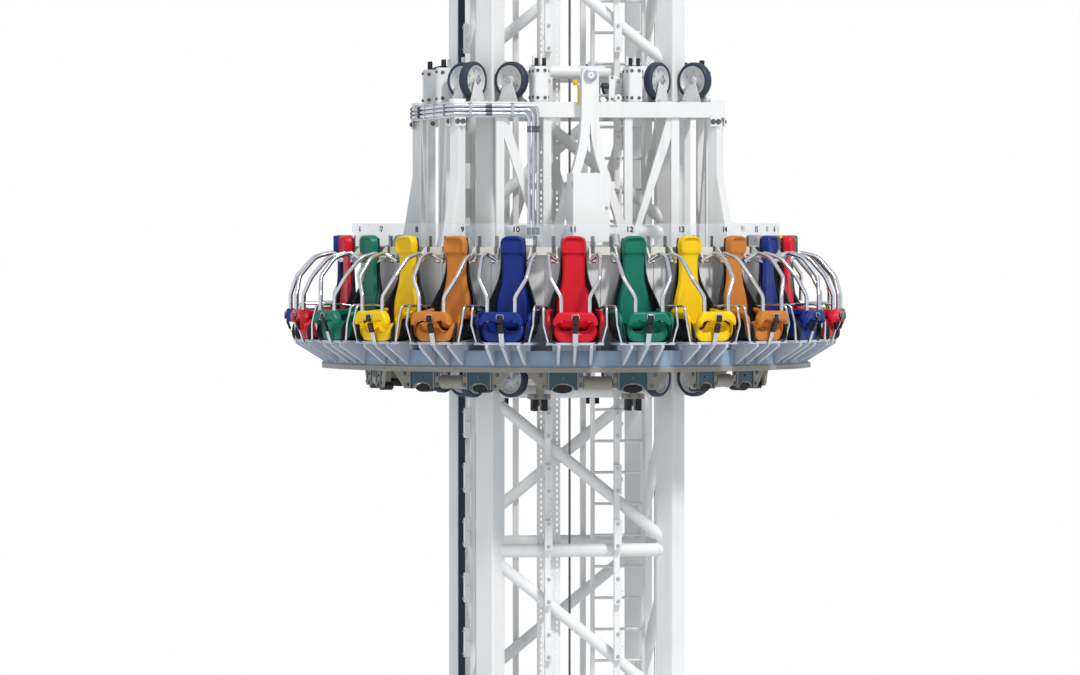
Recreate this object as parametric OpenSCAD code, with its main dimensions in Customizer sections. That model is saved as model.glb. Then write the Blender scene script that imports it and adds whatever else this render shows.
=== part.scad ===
// Drop tower ride: a square lattice mast, shown as six whole bays, and the
// passenger carriage that slides on it, with a ring of outward-facing seats.
// Millimetres, +Z up. The origin is on the mast's axis at ground level, and the
// front of the mast faces -Y.

/* [Mast] */
// Distance between the centres of neighbouring columns
mast_w = 1720; // [1600:10:1800]
// Side of a column's square tube
column_w = 200; // [180:5:220]
// Wall of a column's tube
column_wall = 12; // [8:1:16]
// Height of one bay
bay_h = 1500; // [1480:5:1520]
// Height of the lowest horizontals above the ground
foot_h = 300; // [260:10:340]
// Length of the columns above the highest horizontals
head_h = 150; // [130:5:200]
// Diameter of the horizontal tubes
horizontal_d = 125; // [110:5:135]
// Diameter of the diagonal tubes
diagonal_d = 110; // [90:5:120]
// Height between a diagonal's end and the horizontal beside it
diagonal_gap = 170; // [160:5:200]

/* [Mast ends] */
// Side of a base plate
base_w = 420; // [400:10:460]
// Thickness of the base plates and the splice flanges
plate_t = 30; // [20:2:40]
// Diameter of the circle through the anchor holes
anchor_pcd = 480; // [470:5:490]
// Diameter of an anchor hole
anchor_d = 33; // [26:1:36]
// Side of a splice flange
splice_w = 340; // [330:5:360]
// Diameter of the circle through the splice holes
splice_pcd = 390; // [380:5:400]
// Diameter of a splice hole
splice_d = 26; // [20:1:30]

/* [Rails and services] */
// Distance of a guide rail from the middle of its face
rail_x = 330; // [320:5:340]
// Width of a guide rail
rail_w = 54; // [45:1:60]
// Depth of a guide rail
rail_t = 47; // [40:1:50]
// Width of a brake block
block_w = 72; // [70:1:80]
// Height of a brake block
block_h = 280; // [240:5:320]
// Depth of a brake block
block_t = 60; // [50:1:64]
// Height from one brake block to the next
block_pitch = 520; // [480:5:560]
// Width of the cable tray
tray_w = 214; // [190:2:230]
// Depth of the cable tray
tray_t = 60; // [50:1:70]
// Width of the conductor rail
conductor_w = 54; // [45:1:64]
// Depth of the conductor rail
conductor_t = 63; // [50:1:70]
// Width between the ladder's stiles
ladder_w = 490; // [460:5:500]
// Height from one rung to the next
rung_pitch = 300; // [290:5:310]
// Diameter of the hoist rope
rope_d = 24; // [20:1:28]

/* [Carriage frame] */
// Reach of the frame past the column centres
frame_reach = 440; // [430:2:460]
// Width of a frame beam
beam_w = 120; // [110:2:130]
// Height of a frame beam
beam_h = 145; // [130:5:155]
// Height of the top frame's underside above the ground
top_z = 7370; // [7350:5:7400]
// Height of the bottom frame's underside above the seat ring's underside
frame_rise = 120; // [115:1:130]
// Thickness of the corner plates that carry the wheels
corner_t = 20; // [14:1:24]
// Width of the posts
post_w = 76; // [66:2:84]
// Thickness of a flared corner leg
leg_t = 110; // [90:5:120]

/* [Guide wheels] */
// Diameter of a guide wheel
wheel_d = 350; // [340:2:356]
// Width of a guide wheel
wheel_w = 84; // [70:2:88]
// Thickness of a wheel's tread
tread_t = 34; // [26:1:40]
// Gap between a wheel's tread and its column
wheel_gap = 0.5; // [0.4:0.1:1]
// Diameter of a wheel's axle
axle_d = 40; // [30:1:44]
// Thickness of a wheel bracket's plate
bracket_t = 10; // [8:1:12]

/* [Seat ring] */
// Inner distance of the wall behind the seats
wall_r = 1930; // [1920:5:1950]
// Thickness of that wall
wall_t = 20; // [12:1:24]
// Height of the seat ring's underside
ring_z = 5010; // [5000:5:5020]
// Height of the seat ring's box
ring_h = 200; // [180:5:210]
// Width of the seat ring's box
ring_w = 400; // [380:5:410]
// Height of the rim's underside
rim_z = 6089; // [6080:1:6100]
// Height of the rim
rim_h = 74; // [60:1:80]
// Width of the rim
rim_w = 210; // [190:5:215]
// Height of the number screen
screen_h = 216; // [200:2:230]
// Thickness of the number screen
screen_t = 8; // [6:1:10]

/* [Seats] */
// Distance from the wall to the back of a seat
seat_gap = 130; // [125:1:140]
// Width of a seat at the hips
seat_w = 460; // [440:2:470]
// Width of a seat's back at the top
seat_top_w = 270; // [250:2:290]
// Height of the seat pan's top above the seat ring
pan_h = 120; // [110:2:130]
// Depth of the seat pan
pan_d = 500; // [480:2:510]
// Height of the headrest's top above the pan
back_h = 940; // [900:5:960]
// Thickness of a seat shell's wall
shell_t = 36; // [30:1:40]
// Thickness of the cushions
cushion_t = 60; // [50:1:66]

/* [Restraints] */
// Diameter of a restraint's tube
restraint_d = 38; // [34:1:42]
// Distance of a restraint's arms from the middle of the seat
arm_x = 236; // [230:1:240]
// Radius of the long bends in a restraint's tube
arm_bend = 220; // [180:5:230]
// Radius of the short bend behind the shoulder
shoulder_bend = 36; // [32:1:38]
// Distance of the pivot from the back of the seat
pivot_reach = 62; // [58:1:68]
// Height of the rim's underside above the pivot
pivot_drop = 49; // [45:1:55]
// Diameter of the pivot pins
pin_d = 24; // [20:1:26]
// Clearance round a pivot pin
pin_gap = 0.3; // [0.3:0.1:0.6]

/* [Hidden] */
$fn = 48;
bays = 6;
seats = 24;
seat_step = 360 / seats;
half = mast_w / 2;
mast_h = foot_h + bays * bay_h + head_h;
column_r = column_w / 2;
face_y = half + horizontal_d / 2;
touch = 0.3;

frame_out = half + frame_reach;
frame_in = frame_out - beam_w;
frame_top = top_z + beam_h;
bottom_z = ring_z + frame_rise;
bottom_top = bottom_z + beam_h;

wheel_r = wheel_d / 2;
wheel_x = column_r + wheel_gap + wheel_r;
wheel_shift = 40;
axle_up = wheel_r + 30;
top_axle_z = frame_top + axle_up;
low_axle_z = bottom_z - axle_up;

wall_out = wall_r + wall_t;
rim_out = wall_out + seat_gap - 20;
ring_in = wall_r - 30;
ring_out = ring_in + ring_w;
ring_top = ring_z + ring_h;
rim_top = rim_z + rim_h;
seat_r = wall_out + seat_gap;
seat_front = seat_r + pan_d;
pan_z = ring_top + pan_h;
back_top = pan_z + back_h;

pivot_r = seat_r + pivot_reach;
pivot_z = rim_z - pivot_drop;
pad_r = seat_front + 40;
pad_z = pan_z + 130;
pad_h = 110;

RED = 0;
GREEN = 1;
YELLOW = 2;
ORANGE = 3;
BLUE = 4;

function two_digits(n) = n < 10 ? str("0", n) : str(n);
RESTRAINTS = [for (n = [1:seats]) str("restraint_", two_digits(n))];

// Places
module on_faces() {
    for (a = [0:90:270]) rotate(a) children();
}
module at_columns() {
    on_faces() translate([half, half, 0]) rotate(45) children();
}
module at_seat(n) {
    rotate((n - (seats - 1) / 2) * seat_step) children();
}
module at_seats() {
    for (n = [1:seats]) at_seat(n) children();
}
module mirrored_x() {
    children();
    mirror([1, 0, 0]) children();
}

// Outlines
function corner_points(x, y, r, from) =
    [for (a = [from:30:from + 90]) [x + r * cos(a), y + r * sin(a)]];
function round_square(w, r) = let (c = w / 2 - r) concat(
    corner_points(c, c, r, 0),
    corner_points(-c, c, r, 90),
    corner_points(-c, -c, r, 180),
    corner_points(c, -c, r, 270));
// Outline with one flat side for each seat, r away from the mast's axis
module seat_polygon(r) {
    corner = r / cos(seat_step / 2);
    polygon([for (i = [1:seats]) corner * [cos(i * seat_step), sin(i * seat_step)]]);
}
module ring_band(r_in, r_out, z, h) {
    translate([0, 0, z]) linear_extrude(h) difference() {
        seat_polygon(r_out);
        seat_polygon(r_in);
    }
}
// Plate whose outline is drawn in the upright plane across a seat or a face
module upright(y, t) {
    translate([0, y, 0]) rotate([90, 0, 0]) linear_extrude(t) children();
}
// Plate whose outline is drawn as (reach, height), standing on the line x = 0
module fin(t) {
    rotate([90, 0, 0]) translate([0, 0, -t / 2]) linear_extrude(t) children();
}
module bar(x, y, z) {
    translate([x[0], y[0], z[0]]) cube([x[1] - x[0], y[1] - y[0], z[1] - z[0]]);
}

// Bent tubes: straight runs with true round bends between them
function unit(v) = v / norm(v);
function turn_angle(a, b) = acos(max(-1, min(1, a * b)));
module tube_run(p, q, r) {
    d = q - p;
    translate(p) rotate([0, acos(d[2] / norm(d)), atan2(d[1], d[0])])
        cylinder(r = r, h = norm(d));
}
module tube_bend(p, d1, d2, bend, r) {
    angle = turn_angle(d1, d2);
    side = unit(d2 - (d1 * d2) * d1);
    up = cross(side, d1);
    start = p - bend * tan(angle / 2) * d1;
    mid = start + bend * side;
    multmatrix([
        [-side[0], d1[0], -up[0], mid[0]],
        [-side[1], d1[1], -up[1], mid[1]],
        [-side[2], d1[2], -up[2], mid[2]],
        [0, 0, 0, 1]])
        rotate_extrude(angle = angle) translate([bend, 0]) circle(r);
}
// The bends are a little fatter than the runs, which reach a short way into them
module tube_path(points, bends, r) {
    last = len(points) - 1;
    lap = 2;
    dirs = [for (i = [0:last - 1]) unit(points[i + 1] - points[i])];
    cuts = [for (i = [0:last]) i == 0 || i == last ? 0 :
        bends[i - 1] * tan(turn_angle(dirs[i - 1], dirs[i]) / 2) - lap];
    for (i = [0:last - 1])
        tube_run(points[i] + cuts[i] * dirs[i], points[i + 1] - cuts[i + 1] * dirs[i], r);
    for (i = [1:last - 1]) tube_bend(points[i], dirs[i - 1], dirs[i], bends[i - 1], r + 0.3);
}

// Columns: square tubes with their corners towards the faces
module column_solid(grow = 0, h = mast_h) {
    linear_extrude(h) polygon(round_square(column_w + 2 * grow, 15 + grow));
}
module hole_circle(pcd, d, count, from) {
    for (i = [0:count - 1]) rotate(from + i * 360 / count)
        translate([pcd / 2, 0, -1]) cylinder(d = d, h = plate_t + 2);
}
module mast_columns() {
    color("white") at_columns() difference() {
        union() {
            column_solid();
            linear_extrude(plate_t) square(base_w, center = true);
            translate([0, 0, mast_h - plate_t]) linear_extrude(plate_t)
                square(splice_w, center = true);
        }
        translate([0, 0, -1]) linear_extrude(mast_h + 2)
            square(column_w - 2 * column_wall, center = true);
        hole_circle(anchor_pcd, anchor_d, 4, 45);
        translate([0, 0, mast_h - plate_t]) hole_circle(splice_pcd, splice_d, 4, 45);
    }
}

// Lattice: level tubes and one diagonal a bay, fitted to the columns' corners
module face_tubes() {
    for (i = [0:bays]) translate([-half, -half, foot_h + i * bay_h]) rotate([0, 90, 0])
        cylinder(d = horizontal_d, h = mast_w);
    rise = bay_h - 2 * diagonal_gap;
    run = mast_w - column_w * sqrt(2);
    slope = atan2(rise, run);
    for (i = [0:bays - 1])
        translate([0, -half, foot_h + (i + 0.5) * bay_h]) rotate([0, 90 + slope, 0])
            cylinder(d = diagonal_d, h = mast_w / cos(slope), center = true);
}
module lattice_face() {
    difference() {
        face_tubes();
        for (s = [-1, 1]) translate([s * half, -half, 0]) rotate(45) column_solid();
    }
}
module lattice_front() { color("white") lattice_face(); }
module lattice_right() { color("white") rotate(90) lattice_face(); }
module lattice_rear() { color("white") rotate(180) lattice_face(); }
module lattice_left() { color("white") rotate(270) lattice_face(); }

// Guide rails: two up each face, with brake blocks on three of them
rail_y = face_y + touch;
rail_z = 150;
module plain_rail(x) {
    bar([x - rail_w / 2, x + rail_w / 2], [-rail_y - rail_t, -rail_y], [rail_z, mast_h - 40]);
}
module block_rail(x) {
    plain_rail(x);
    count = floor((mast_h - 40 - rail_z - block_h) / block_pitch);
    for (i = [0:count]) translate([0, 0, rail_z + 40 + i * block_pitch])
        bar([x - block_w / 2, x + block_w / 2],
            [-rail_y - rail_t - block_t, -rail_y - rail_t], [0, block_h]);
}
module guide_rails() {
    color("white") {
        block_rail(-rail_x);
        block_rail(rail_x);
        rotate(-90) block_rail(rail_x);
        rotate(90) { plain_rail(-rail_x); plain_rail(rail_x); }
        rotate(180) { plain_rail(-rail_x); plain_rail(rail_x); }
    }
}

// Conductor rail on the left face, beside the rear guide rail's place
module conductor_rail() {
    color("black") rotate(-90)
        bar([-rail_x - conductor_w / 2, -rail_x + conductor_w / 2],
            [-rail_y - conductor_t, -rail_y], [rail_z, mast_h - 40]);
}

// Cable tray: an open channel against the inside of the front tubes
tray_x = -290;
tray_wall = 3;
inside_y = half - horizontal_d / 2;
module cable_tray() {
    color("white") difference() {
        bar([tray_x - tray_w / 2, tray_x + tray_w / 2],
            [-inside_y + touch, -inside_y + touch + tray_t], [rail_z, mast_h - 40]);
        bar([tray_x - tray_w / 2 + tray_wall, tray_x + tray_w / 2 - tray_wall],
            [-inside_y + touch + tray_wall, -inside_y + touch + tray_t + 1],
            [rail_z - 1, mast_h - 39]);
    }
}

// Ladder inside the mast, on bearers from the right-hand tubes
ladder_out = inside_y - 28;
stile_w = 34;
stile_d = 60;
first_rung = 200;
module access_ladder() {
    inner = ladder_out - ladder_w;
    bottom = foot_h - 100;
    top = mast_h - 60;
    rungs = floor((top - bottom - first_rung - 80) / rung_pitch);
    color("white") difference() {
        union() {
            bar([inner - stile_w, inner], [-stile_d / 2, stile_d / 2], [bottom, top]);
            bar([ladder_out - stile_w, ladder_out], [-stile_d / 2, stile_d / 2], [bottom, top]);
            for (i = [0:rungs]) translate([inner - stile_w / 2, 0, bottom + first_rung + i * rung_pitch])
                rotate([0, 90, 0]) cylinder(d = 28, h = ladder_w);
            for (i = [0:bays]) bar([inner - stile_w, half], [stile_d / 2, stile_d / 2 + 10],
                [foot_h + i * bay_h - 25, foot_h + i * bay_h + 25]);
        }
        for (i = [0:bays]) translate([half, 0, foot_h + i * bay_h]) rotate([90, 0, 0])
            cylinder(d = horizontal_d + 2 * touch, h = mast_w, center = true);
    }
}

// Hoist rope down the middle, held at both ends of the built length
rope_x = 40;
beam_z = [foot_h, foot_h + bays * bay_h];
socket_h = 130;
module hoist_rope() {
    color("black") translate([rope_x, 0, beam_z[0] - socket_h])
        cylinder(d = rope_d, h = beam_z[1] - beam_z[0] + 2 * socket_h);
}
module rope_beams() {
    color("white") for (z = beam_z) difference() {
        union() {
            bar([rope_x - 50, rope_x + 50], [-half, half], [z - 50, z + 50]);
            translate([rope_x, 0, z - socket_h / 2]) cylinder(d = 76, h = socket_h);
        }
        translate([rope_x, 0, z - socket_h]) cylinder(d = rope_d, h = 2 * socket_h);
        for (s = [-1, 1]) translate([-half, s * half, z]) rotate([0, 90, 0])
            cylinder(d = horizontal_d + 2 * touch, h = mast_w);
    }
}

// Carriage frames: square rings of box beam with wheel plates in their corners
module corner_plate(z) {
    notch = column_w + 24;
    clear = face_y + 22;
    wide = half - 260;
    on_faces() translate([0, 0, z]) linear_extrude(corner_t) difference() {
        polygon([[frame_in + 10, frame_in + 10], [frame_in + 10, wide - 120], [clear, wide],
            [clear, clear], [wide, clear], [wide - 120, frame_in + 10]]);
        translate([half, half]) rotate(45) square(notch, center = true);
    }
}
module square_ring(z) {
    cut = frame_out - 25;
    translate([0, 0, z]) linear_extrude(beam_h) difference() {
        polygon([[frame_out, cut], [cut, frame_out], [-cut, frame_out], [-frame_out, cut],
            [-frame_out, -cut], [-cut, -frame_out], [cut, -frame_out], [frame_out, -cut]]);
        square(2 * frame_in, center = true);
    }
}
module corner_block() {
    block = beam_w + 20;
    far = frame_out - 25;
    translate([0, 0, frame_top - 5]) linear_extrude(33) polygon([
        [frame_out - block, frame_out - block], [frame_out, frame_out - block], [frame_out, far],
        [far, frame_out], [frame_out - block, frame_out]]);
}
module top_frame() {
    color("white") {
        square_ring(top_z);
        on_faces() corner_block();
        corner_plate(frame_top - corner_t);
    }
}
module bottom_frame() {
    color("white") {
        square_ring(bottom_z);
        corner_plate(bottom_z);
    }
}

// Corner legs: flared box legs on the diagonals, from the top frame to the rim
leg_in = frame_in * sqrt(2) + 12;
leg_out = frame_out * sqrt(2) - 54;
module corner_legs() {
    foot = wall_r - 6;
    color("white") on_faces() rotate(45) fin(leg_t) polygon([
        [leg_in, top_z - touch], [leg_in, rim_top], [foot, rim_top], [leg_out + 95, rim_top + 190],
        [leg_out, rim_top + 670], [leg_out, top_z - touch]]);
}

// Side frames: posts and diagonals between the two frames, one set a face
frame_mid = frame_out - beam_w / 2;
outer_post_x = 830;
inner_post_x = 385;
module side_post(x) {
    bar([x - post_w / 2, x + post_w / 2], [-frame_mid - post_w / 2, -frame_mid + post_w / 2],
        [bottom_top, top_z]);
}
module side_panel() {
    diagonal_foot = rim_top - 60;
    side_post(outer_post_x);
    side_post(inner_post_x);
    upright(-frame_mid + post_w / 2 - 8, post_w - 16) polygon([
        [outer_post_x - post_w / 2, top_z], [outer_post_x, top_z - 80],
        [inner_post_x + post_w / 2, diagonal_foot], [inner_post_x, diagonal_foot + 40],
        [outer_post_x - post_w, top_z]]);
}
module side_frames() {
    color("white") on_faces() mirrored_x() side_panel();
}

// Hangers: an A-frame on a pin above the top frame, at the front and the rear
hanger_pin_z = frame_top + 250;
hanger_t = 110;
hanger_pin_d = 62;
head_r = 80;
leg_w = 76;
foot_x = 296;
bar_h = 60;
// Reach of a leg's inner edge at a height, in smooth S-shaped curves
function ease(t) = let (u = max(0, min(1, t))) u * u * (3 - 2 * u);
function leg_reach(z) = foot_x * ease((top_z - 50 - z) / 1250);
module hanger_leg() {
    steps = 12;
    low = rim_top;
    heights = [for (i = [0:steps]) top_z - 50 - i * (top_z - 50 - low) / steps];
    polygon(concat(
        [[0, frame_top - 20], [head_r, frame_top - 20], [head_r, top_z]],
        [for (z = heights) [leg_reach(z) + leg_w + 12 * (z - low) / (top_z - low), z]],
        [[foot_x + leg_w, outrigger_top + touch], [foot_x, outrigger_top + touch]],
        [for (i = [steps:-1:0]) [leg_reach(heights[i]), heights[i]]]));
}
module hanger() {
    y = -frame_out - touch;
    difference() {
        union() {
            upright(y, hanger_t) {
                hanger_leg();
                mirror([1, 0]) hanger_leg();
                translate([-head_r, frame_top - 30]) square([2 * head_r, hanger_pin_z - frame_top + 30]);
                translate([-foot_x - 20, rim_top + 120]) square([2 * foot_x + 40, bar_h]);
                translate([-foot_x + 60, top_z - 660]) square([2 * foot_x - 120, bar_h]);
            }
            translate([0, y, hanger_pin_z]) rotate([90, 0, 0]) cylinder(r = head_r, h = hanger_t);
        }
        translate([0, y + 1, hanger_pin_z]) rotate([90, 0, 0])
            cylinder(d = hanger_pin_d, h = hanger_t + 2);
    }
    translate([0, y + 90, hanger_pin_z]) rotate([90, 0, 0])
        cylinder(d = hanger_pin_d - 2 * touch, h = hanger_t + 130);
    upright(y + 80, 60) polygon([[-90, frame_top], [90, frame_top], [60, hanger_pin_z + 70],
        [-60, hanger_pin_z + 70]]);
}
module hangers() {
    color("white") for (a = [0, 180]) rotate(a) hanger();
}

// Guide wheels: three to a column at the top and three at the bottom
module wheel_places() {
    at_columns() {
        translate([wheel_x, 0, 0]) children();
        for (s = [-1, 1]) translate([wheel_shift, s * wheel_x, 0]) rotate(90) children();
    }
}
module all_wheels() {
    for (z = [top_axle_z, low_axle_z]) translate([0, 0, z]) wheel_places()
        rotate([90, 0, 0]) children();
}
module tyre_section() {
    rim = wheel_r - tread_t;
    polygon([[rim, -wheel_w / 2], [wheel_r - 12, -wheel_w / 2], [wheel_r, -wheel_w / 2 + 14],
        [wheel_r, wheel_w / 2 - 14], [wheel_r - 12, wheel_w / 2], [rim, wheel_w / 2]]);
}
module disc_section() {
    rim = wheel_r - tread_t - touch;
    polygon([[axle_d / 2, -wheel_w / 2 + 2], [38, -wheel_w / 2 + 2], [60, -12], [rim - 24, -12],
        [rim - 10, -wheel_w / 2 + 4], [rim, -wheel_w / 2 + 4], [rim, wheel_w / 2 - 4],
        [rim - 10, wheel_w / 2 - 4], [rim - 24, 12], [60, 12], [38, wheel_w / 2 - 2],
        [axle_d / 2, wheel_w / 2 - 2]]);
}
module wheel_tyres() {
    color("black") all_wheels() rotate_extrude() tyre_section();
}
module wheel_discs() {
    color("gainsboro") all_wheels() rotate_extrude() disc_section();
}
// Bracket: two tapered plates with the axle between them, standing on its base
module wheel_bracket() {
    gap = wheel_w / 2 + 6;
    foot = axle_up - touch;
    wide = 105;
    tip = 36;
    for (s = [-1, 1]) translate([0, s * (gap + bracket_t / 2), 0]) fin(bracket_t)
        polygon(concat([[-wide, -foot], [wide, -foot], [wide, 16 - foot]],
            [for (a = [30:24:150]) tip * [cos(a), sin(a)]], [[-wide, 16 - foot]]));
    rotate([90, 0, 0]) cylinder(d = axle_d - 2 * touch, h = 2 * (gap + bracket_t + 12),
        center = true);
}
module wheel_brackets() {
    color("silver") {
        translate([0, 0, top_axle_z]) wheel_places() wheel_bracket();
        translate([0, 0, low_axle_z]) wheel_places() mirror([0, 0, 1]) wheel_bracket();
    }
}

// Guide shoes: boxes on the top frame beside the rails, with adjusting studs
shoe_x = 446;
shoe_w = 120;
shoe_h = 335;
module guide_shoe() {
    back = face_y + rail_t - 5;
    bar([shoe_x - shoe_w / 2, shoe_x + shoe_w / 2], [-frame_out, -back],
        [frame_top, frame_top + shoe_h]);
    for (x = [-36, 36]) translate([shoe_x + x, -back - 90, frame_top + shoe_h])
        cylinder(d = 24, h = 100);
}
module guide_shoes() {
    color("white") on_faces() mirrored_x() guide_shoe();
}

// Seat ring: a box girder with a flat side for each seat and a flange round its foot
flange_reach = 24;
flange_h = 48;
module seat_ring() {
    color("slategray") {
        ring_band(ring_in, ring_out, ring_z, ring_h);
        ring_band(ring_out - 5, ring_out + flange_reach, ring_z, flange_h);
    }
}
// Outriggers: on the faces and the diagonals, pairs of beams from the bottom frame to the
// seat ring, with notched buffer plates, a gusset beside each one and a drum between them
outrigger_x = 330;
outrigger_w = 290;
notch_r = 70;
gusset_w = 200;
drum_d = 130;
outrigger_top = ring_top - 10;
outrigger_z = bottom_z + 10;
buffer_y = -ring_in + 55;
buffer_t = 30;
buffer_foot = low_axle_z - 90;
module outrigger() {
    inner = outrigger_x - outrigger_w / 2;
    outer = outrigger_x + outrigger_w / 2;
    intersection() {
        bar([inner, outer], [-ring_out, -frame_in], [outrigger_z, outrigger_top]);
        linear_extrude(mast_h) seat_polygon(ring_in - touch);
    }
    difference() {
        bar([inner, outer], [buffer_y, buffer_y + buffer_t], [buffer_foot, outrigger_z]);
        translate([outrigger_x, buffer_y + buffer_t + 10, buffer_foot]) rotate([90, 0, 0])
            cylinder(r = notch_r, h = 2 * buffer_t);
    }
    upright(buffer_y + buffer_t, buffer_t - 6) polygon([[outer - 1, ring_z - 6],
        [outer + gusset_w, ring_z - 6], [outer + gusset_w / 3, buffer_foot],
        [outer - 1, buffer_foot]]);
}
module buffer_drum() {
    reach = outrigger_x - outrigger_w / 2 + 1;
    translate([-reach, buffer_y + buffer_t + 30, buffer_foot + 100]) rotate([0, 90, 0])
        cylinder(d = drum_d, h = 2 * reach);
}
module outriggers() {
    color("lightsteelblue") difference() {
        for (a = [0:45:315]) rotate(a) {
            mirrored_x() outrigger();
            buffer_drum();
        }
        translate([0, 0, bottom_z]) linear_extrude(beam_h)
            square(2 * (frame_out + touch), center = true);
    }
}

// Wall behind the seats: one flat sheet a seat, standing on the seat ring
module seat_wall() {
    gap = 3;
    wide = 2 * wall_r * tan(seat_step / 2) - gap;
    color("lightgray") at_seats()
        bar([-wide / 2, wide / 2], [-wall_out, -wall_r], [ring_top + touch, rim_z - touch]);
}
// Rim: a flat-sided ring on the wall, with the lugs that carry the restraints
lug_in = seat_top_w / 2 + 10;
lug_t = 16;
lug_r = 26;
module lug() {
    difference() {
        translate([lug_in + lug_t, 0, 0]) rotate([90, 0, -90]) linear_extrude(lug_t)
            polygon([[rim_out - 30, rim_z + 4], [rim_out - 30, rim_top - 4],
                [rim_out + 20, rim_top - 4], [pivot_r + lug_r, pivot_z + 20],
                [pivot_r + lug_r, pivot_z - lug_r], [pivot_r - lug_r, pivot_z - lug_r],
                [rim_out - 1, rim_z + 4]]);
        translate([lug_in - 1, -pivot_r, pivot_z]) rotate([0, 90, 0])
            cylinder(d = pin_d + 2 * pin_gap, h = lug_t + 2);
    }
}
module seat_rim() {
    color("cornsilk") {
        ring_band(rim_out - rim_w, rim_out, rim_z, rim_h);
        at_seats() mirrored_x() lug();
    }
}
// Number screen: a clear band that stands on the rim
module number_screen() {
    color("lightblue", 0.4) ring_band(rim_out - 30 - screen_t, rim_out - 30, rim_top, screen_h);
}

// Seat shell: moulded back with a round-cornered headrest, wings and pan on the seat ring
wing_t = 28;
wing_cut = 62;
module seat_back_outline(top_w, top, corner) {
    c = top_w / 2 - corner;
    polygon(concat(
        [[-seat_w / 2, ring_top + touch], [seat_w / 2, ring_top + touch], [seat_w / 2, pan_z + 330],
            [top_w / 2 + 4, pan_z + 560]],
        [for (p = corner_points(c, top - corner, corner, 0)) p],
        [for (p = corner_points(-c, top - corner, corner, 90)) p],
        [[-top_w / 2 - 4, pan_z + 560], [-seat_w / 2, pan_z + 330]]));
}
module wing() {
    translate([seat_w / 2, 0, 0]) rotate([90, 0, -90]) linear_extrude(wing_t) polygon([
        [seat_r + shell_t, pan_z - 1], [seat_front - wing_cut, pan_z - 1],
        [seat_front - wing_cut, pan_z + 90],
        [seat_front - 84, pan_z + 136], [seat_front - 130, pan_z + 156],
        [seat_r + 260, pan_z + 172], [seat_r + 200, pan_z + 206], [seat_r + 168, pan_z + 270],
        [seat_r + 150, pan_z + 330], [seat_r + shell_t, pan_z + 330]]);
}
module seat_shell() {
    upright(-seat_r, shell_t) seat_back_outline(seat_top_w, back_top, 60);
    bar([-seat_w / 2, seat_w / 2], [-seat_front, -seat_r - shell_t], [pan_z - 40, pan_z]);
    mirrored_x() wing();
}
module seat_shells() {
    color("black") at_seats() seat_shell();
}
// Cushions: a back pad with a thick headrest, and a seat pad with side bolsters
// that roll over the front of the wings, and a raised middle
head_pad_t = 24;
roll_back = 12;
module back_pad() {
    front = -seat_r - shell_t - touch;
    upright(front, cushion_t) polygon([
        [-165, pan_z + 70], [165, pan_z + 70], [172, pan_z + 330], [108, pan_z + 560],
        [110, back_top - 130], [122, back_top - 60], [112, back_top - 26], [84, back_top - 8],
        [-84, back_top - 8], [-112, back_top - 26], [-122, back_top - 60], [-110, back_top - 130],
        [-108, pan_z + 560], [-172, pan_z + 330]]);
    upright(front - cushion_t + 1, head_pad_t) polygon([
        [-104, back_top - 134], [104, back_top - 134], [114, back_top - 60], [104, back_top - 32],
        [78, back_top - 16], [-78, back_top - 16], [-104, back_top - 32], [-114, back_top - 60]]);
}
module bolster() {
    inner = seat_w / 2 - wing_t - touch;
    roll = wing_cut - roll_back - touch;
    front = -seat_front + roll_back;
    bar([inner - 46, inner], [front + roll, -seat_r - shell_t - cushion_t - 8],
        [pan_z + touch, pan_z + 140]);
    bar([inner - 46, seat_w / 2 + 4], [front, front + roll], [pan_z + touch, pan_z + 132]);
}
module seat_pad() {
    inner = seat_w / 2 - wing_t - 3;
    back = seat_r + shell_t + cushion_t + 6;
    front = -seat_front + roll_back;
    translate([0, 0, pan_z + touch]) linear_extrude(cushion_t) polygon([
        [-inner, -back], [inner, -back], [inner, front + 30], [150, front],
        [-150, front], [-inner, front + 30]]);
    bar([-44, 44], [front, front + 120], [pan_z + cushion_t - 1, pan_z + 96]);
    mirrored_x() bolster();
}
module cushions(tone) {
    for (n = [1:seats]) if ((n - 1) % 5 == tone) at_seat(n) {
        back_pad();
        seat_pad();
    }
}
module cushions_red() { color("crimson") cushions(RED); }
module cushions_green() { color("teal") cushions(GREEN); }
module cushions_yellow() { color("gold") cushions(YELLOW); }
module cushions_orange() { color("peru") cushions(ORANGE); }
module cushions_blue() { color("royalblue") cushions(BLUE); }

// Armrest hoops: from the back's side forwards, over, and down to the seat bracket
hoop_d = 24;
module armrest_hoops() {
    near = seat_w / 2 + touch + hoop_d / 2;
    far = near + 48;
    color("silver") at_seats() mirrored_x() tube_path([
        [near, -seat_r - 6, pan_z + 262], [near, -seat_r - 90, pan_z + 270],
        [far, -seat_r - 220, pan_z + 290], [far, -seat_front + 50, pan_z + 290],
        [far, -seat_front + 6, pan_z + 120], [near + 4, -seat_front + 16, pan_z - 36]],
        [60, 60, 50, 60], hoop_d / 2);
}
// Seat belts: a strap and buckle between the pan's front and the lap pad
module seat_belts() {
    y = -seat_front;
    color("dimgray") at_seats() {
        bar([-24, 24], [y - 6, y - touch], [pan_z - 40, pad_z - 8]);
        bar([-30, 30], [y - 30, y - 6], [pan_z + 62, pad_z - 8]);
    }
}
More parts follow.
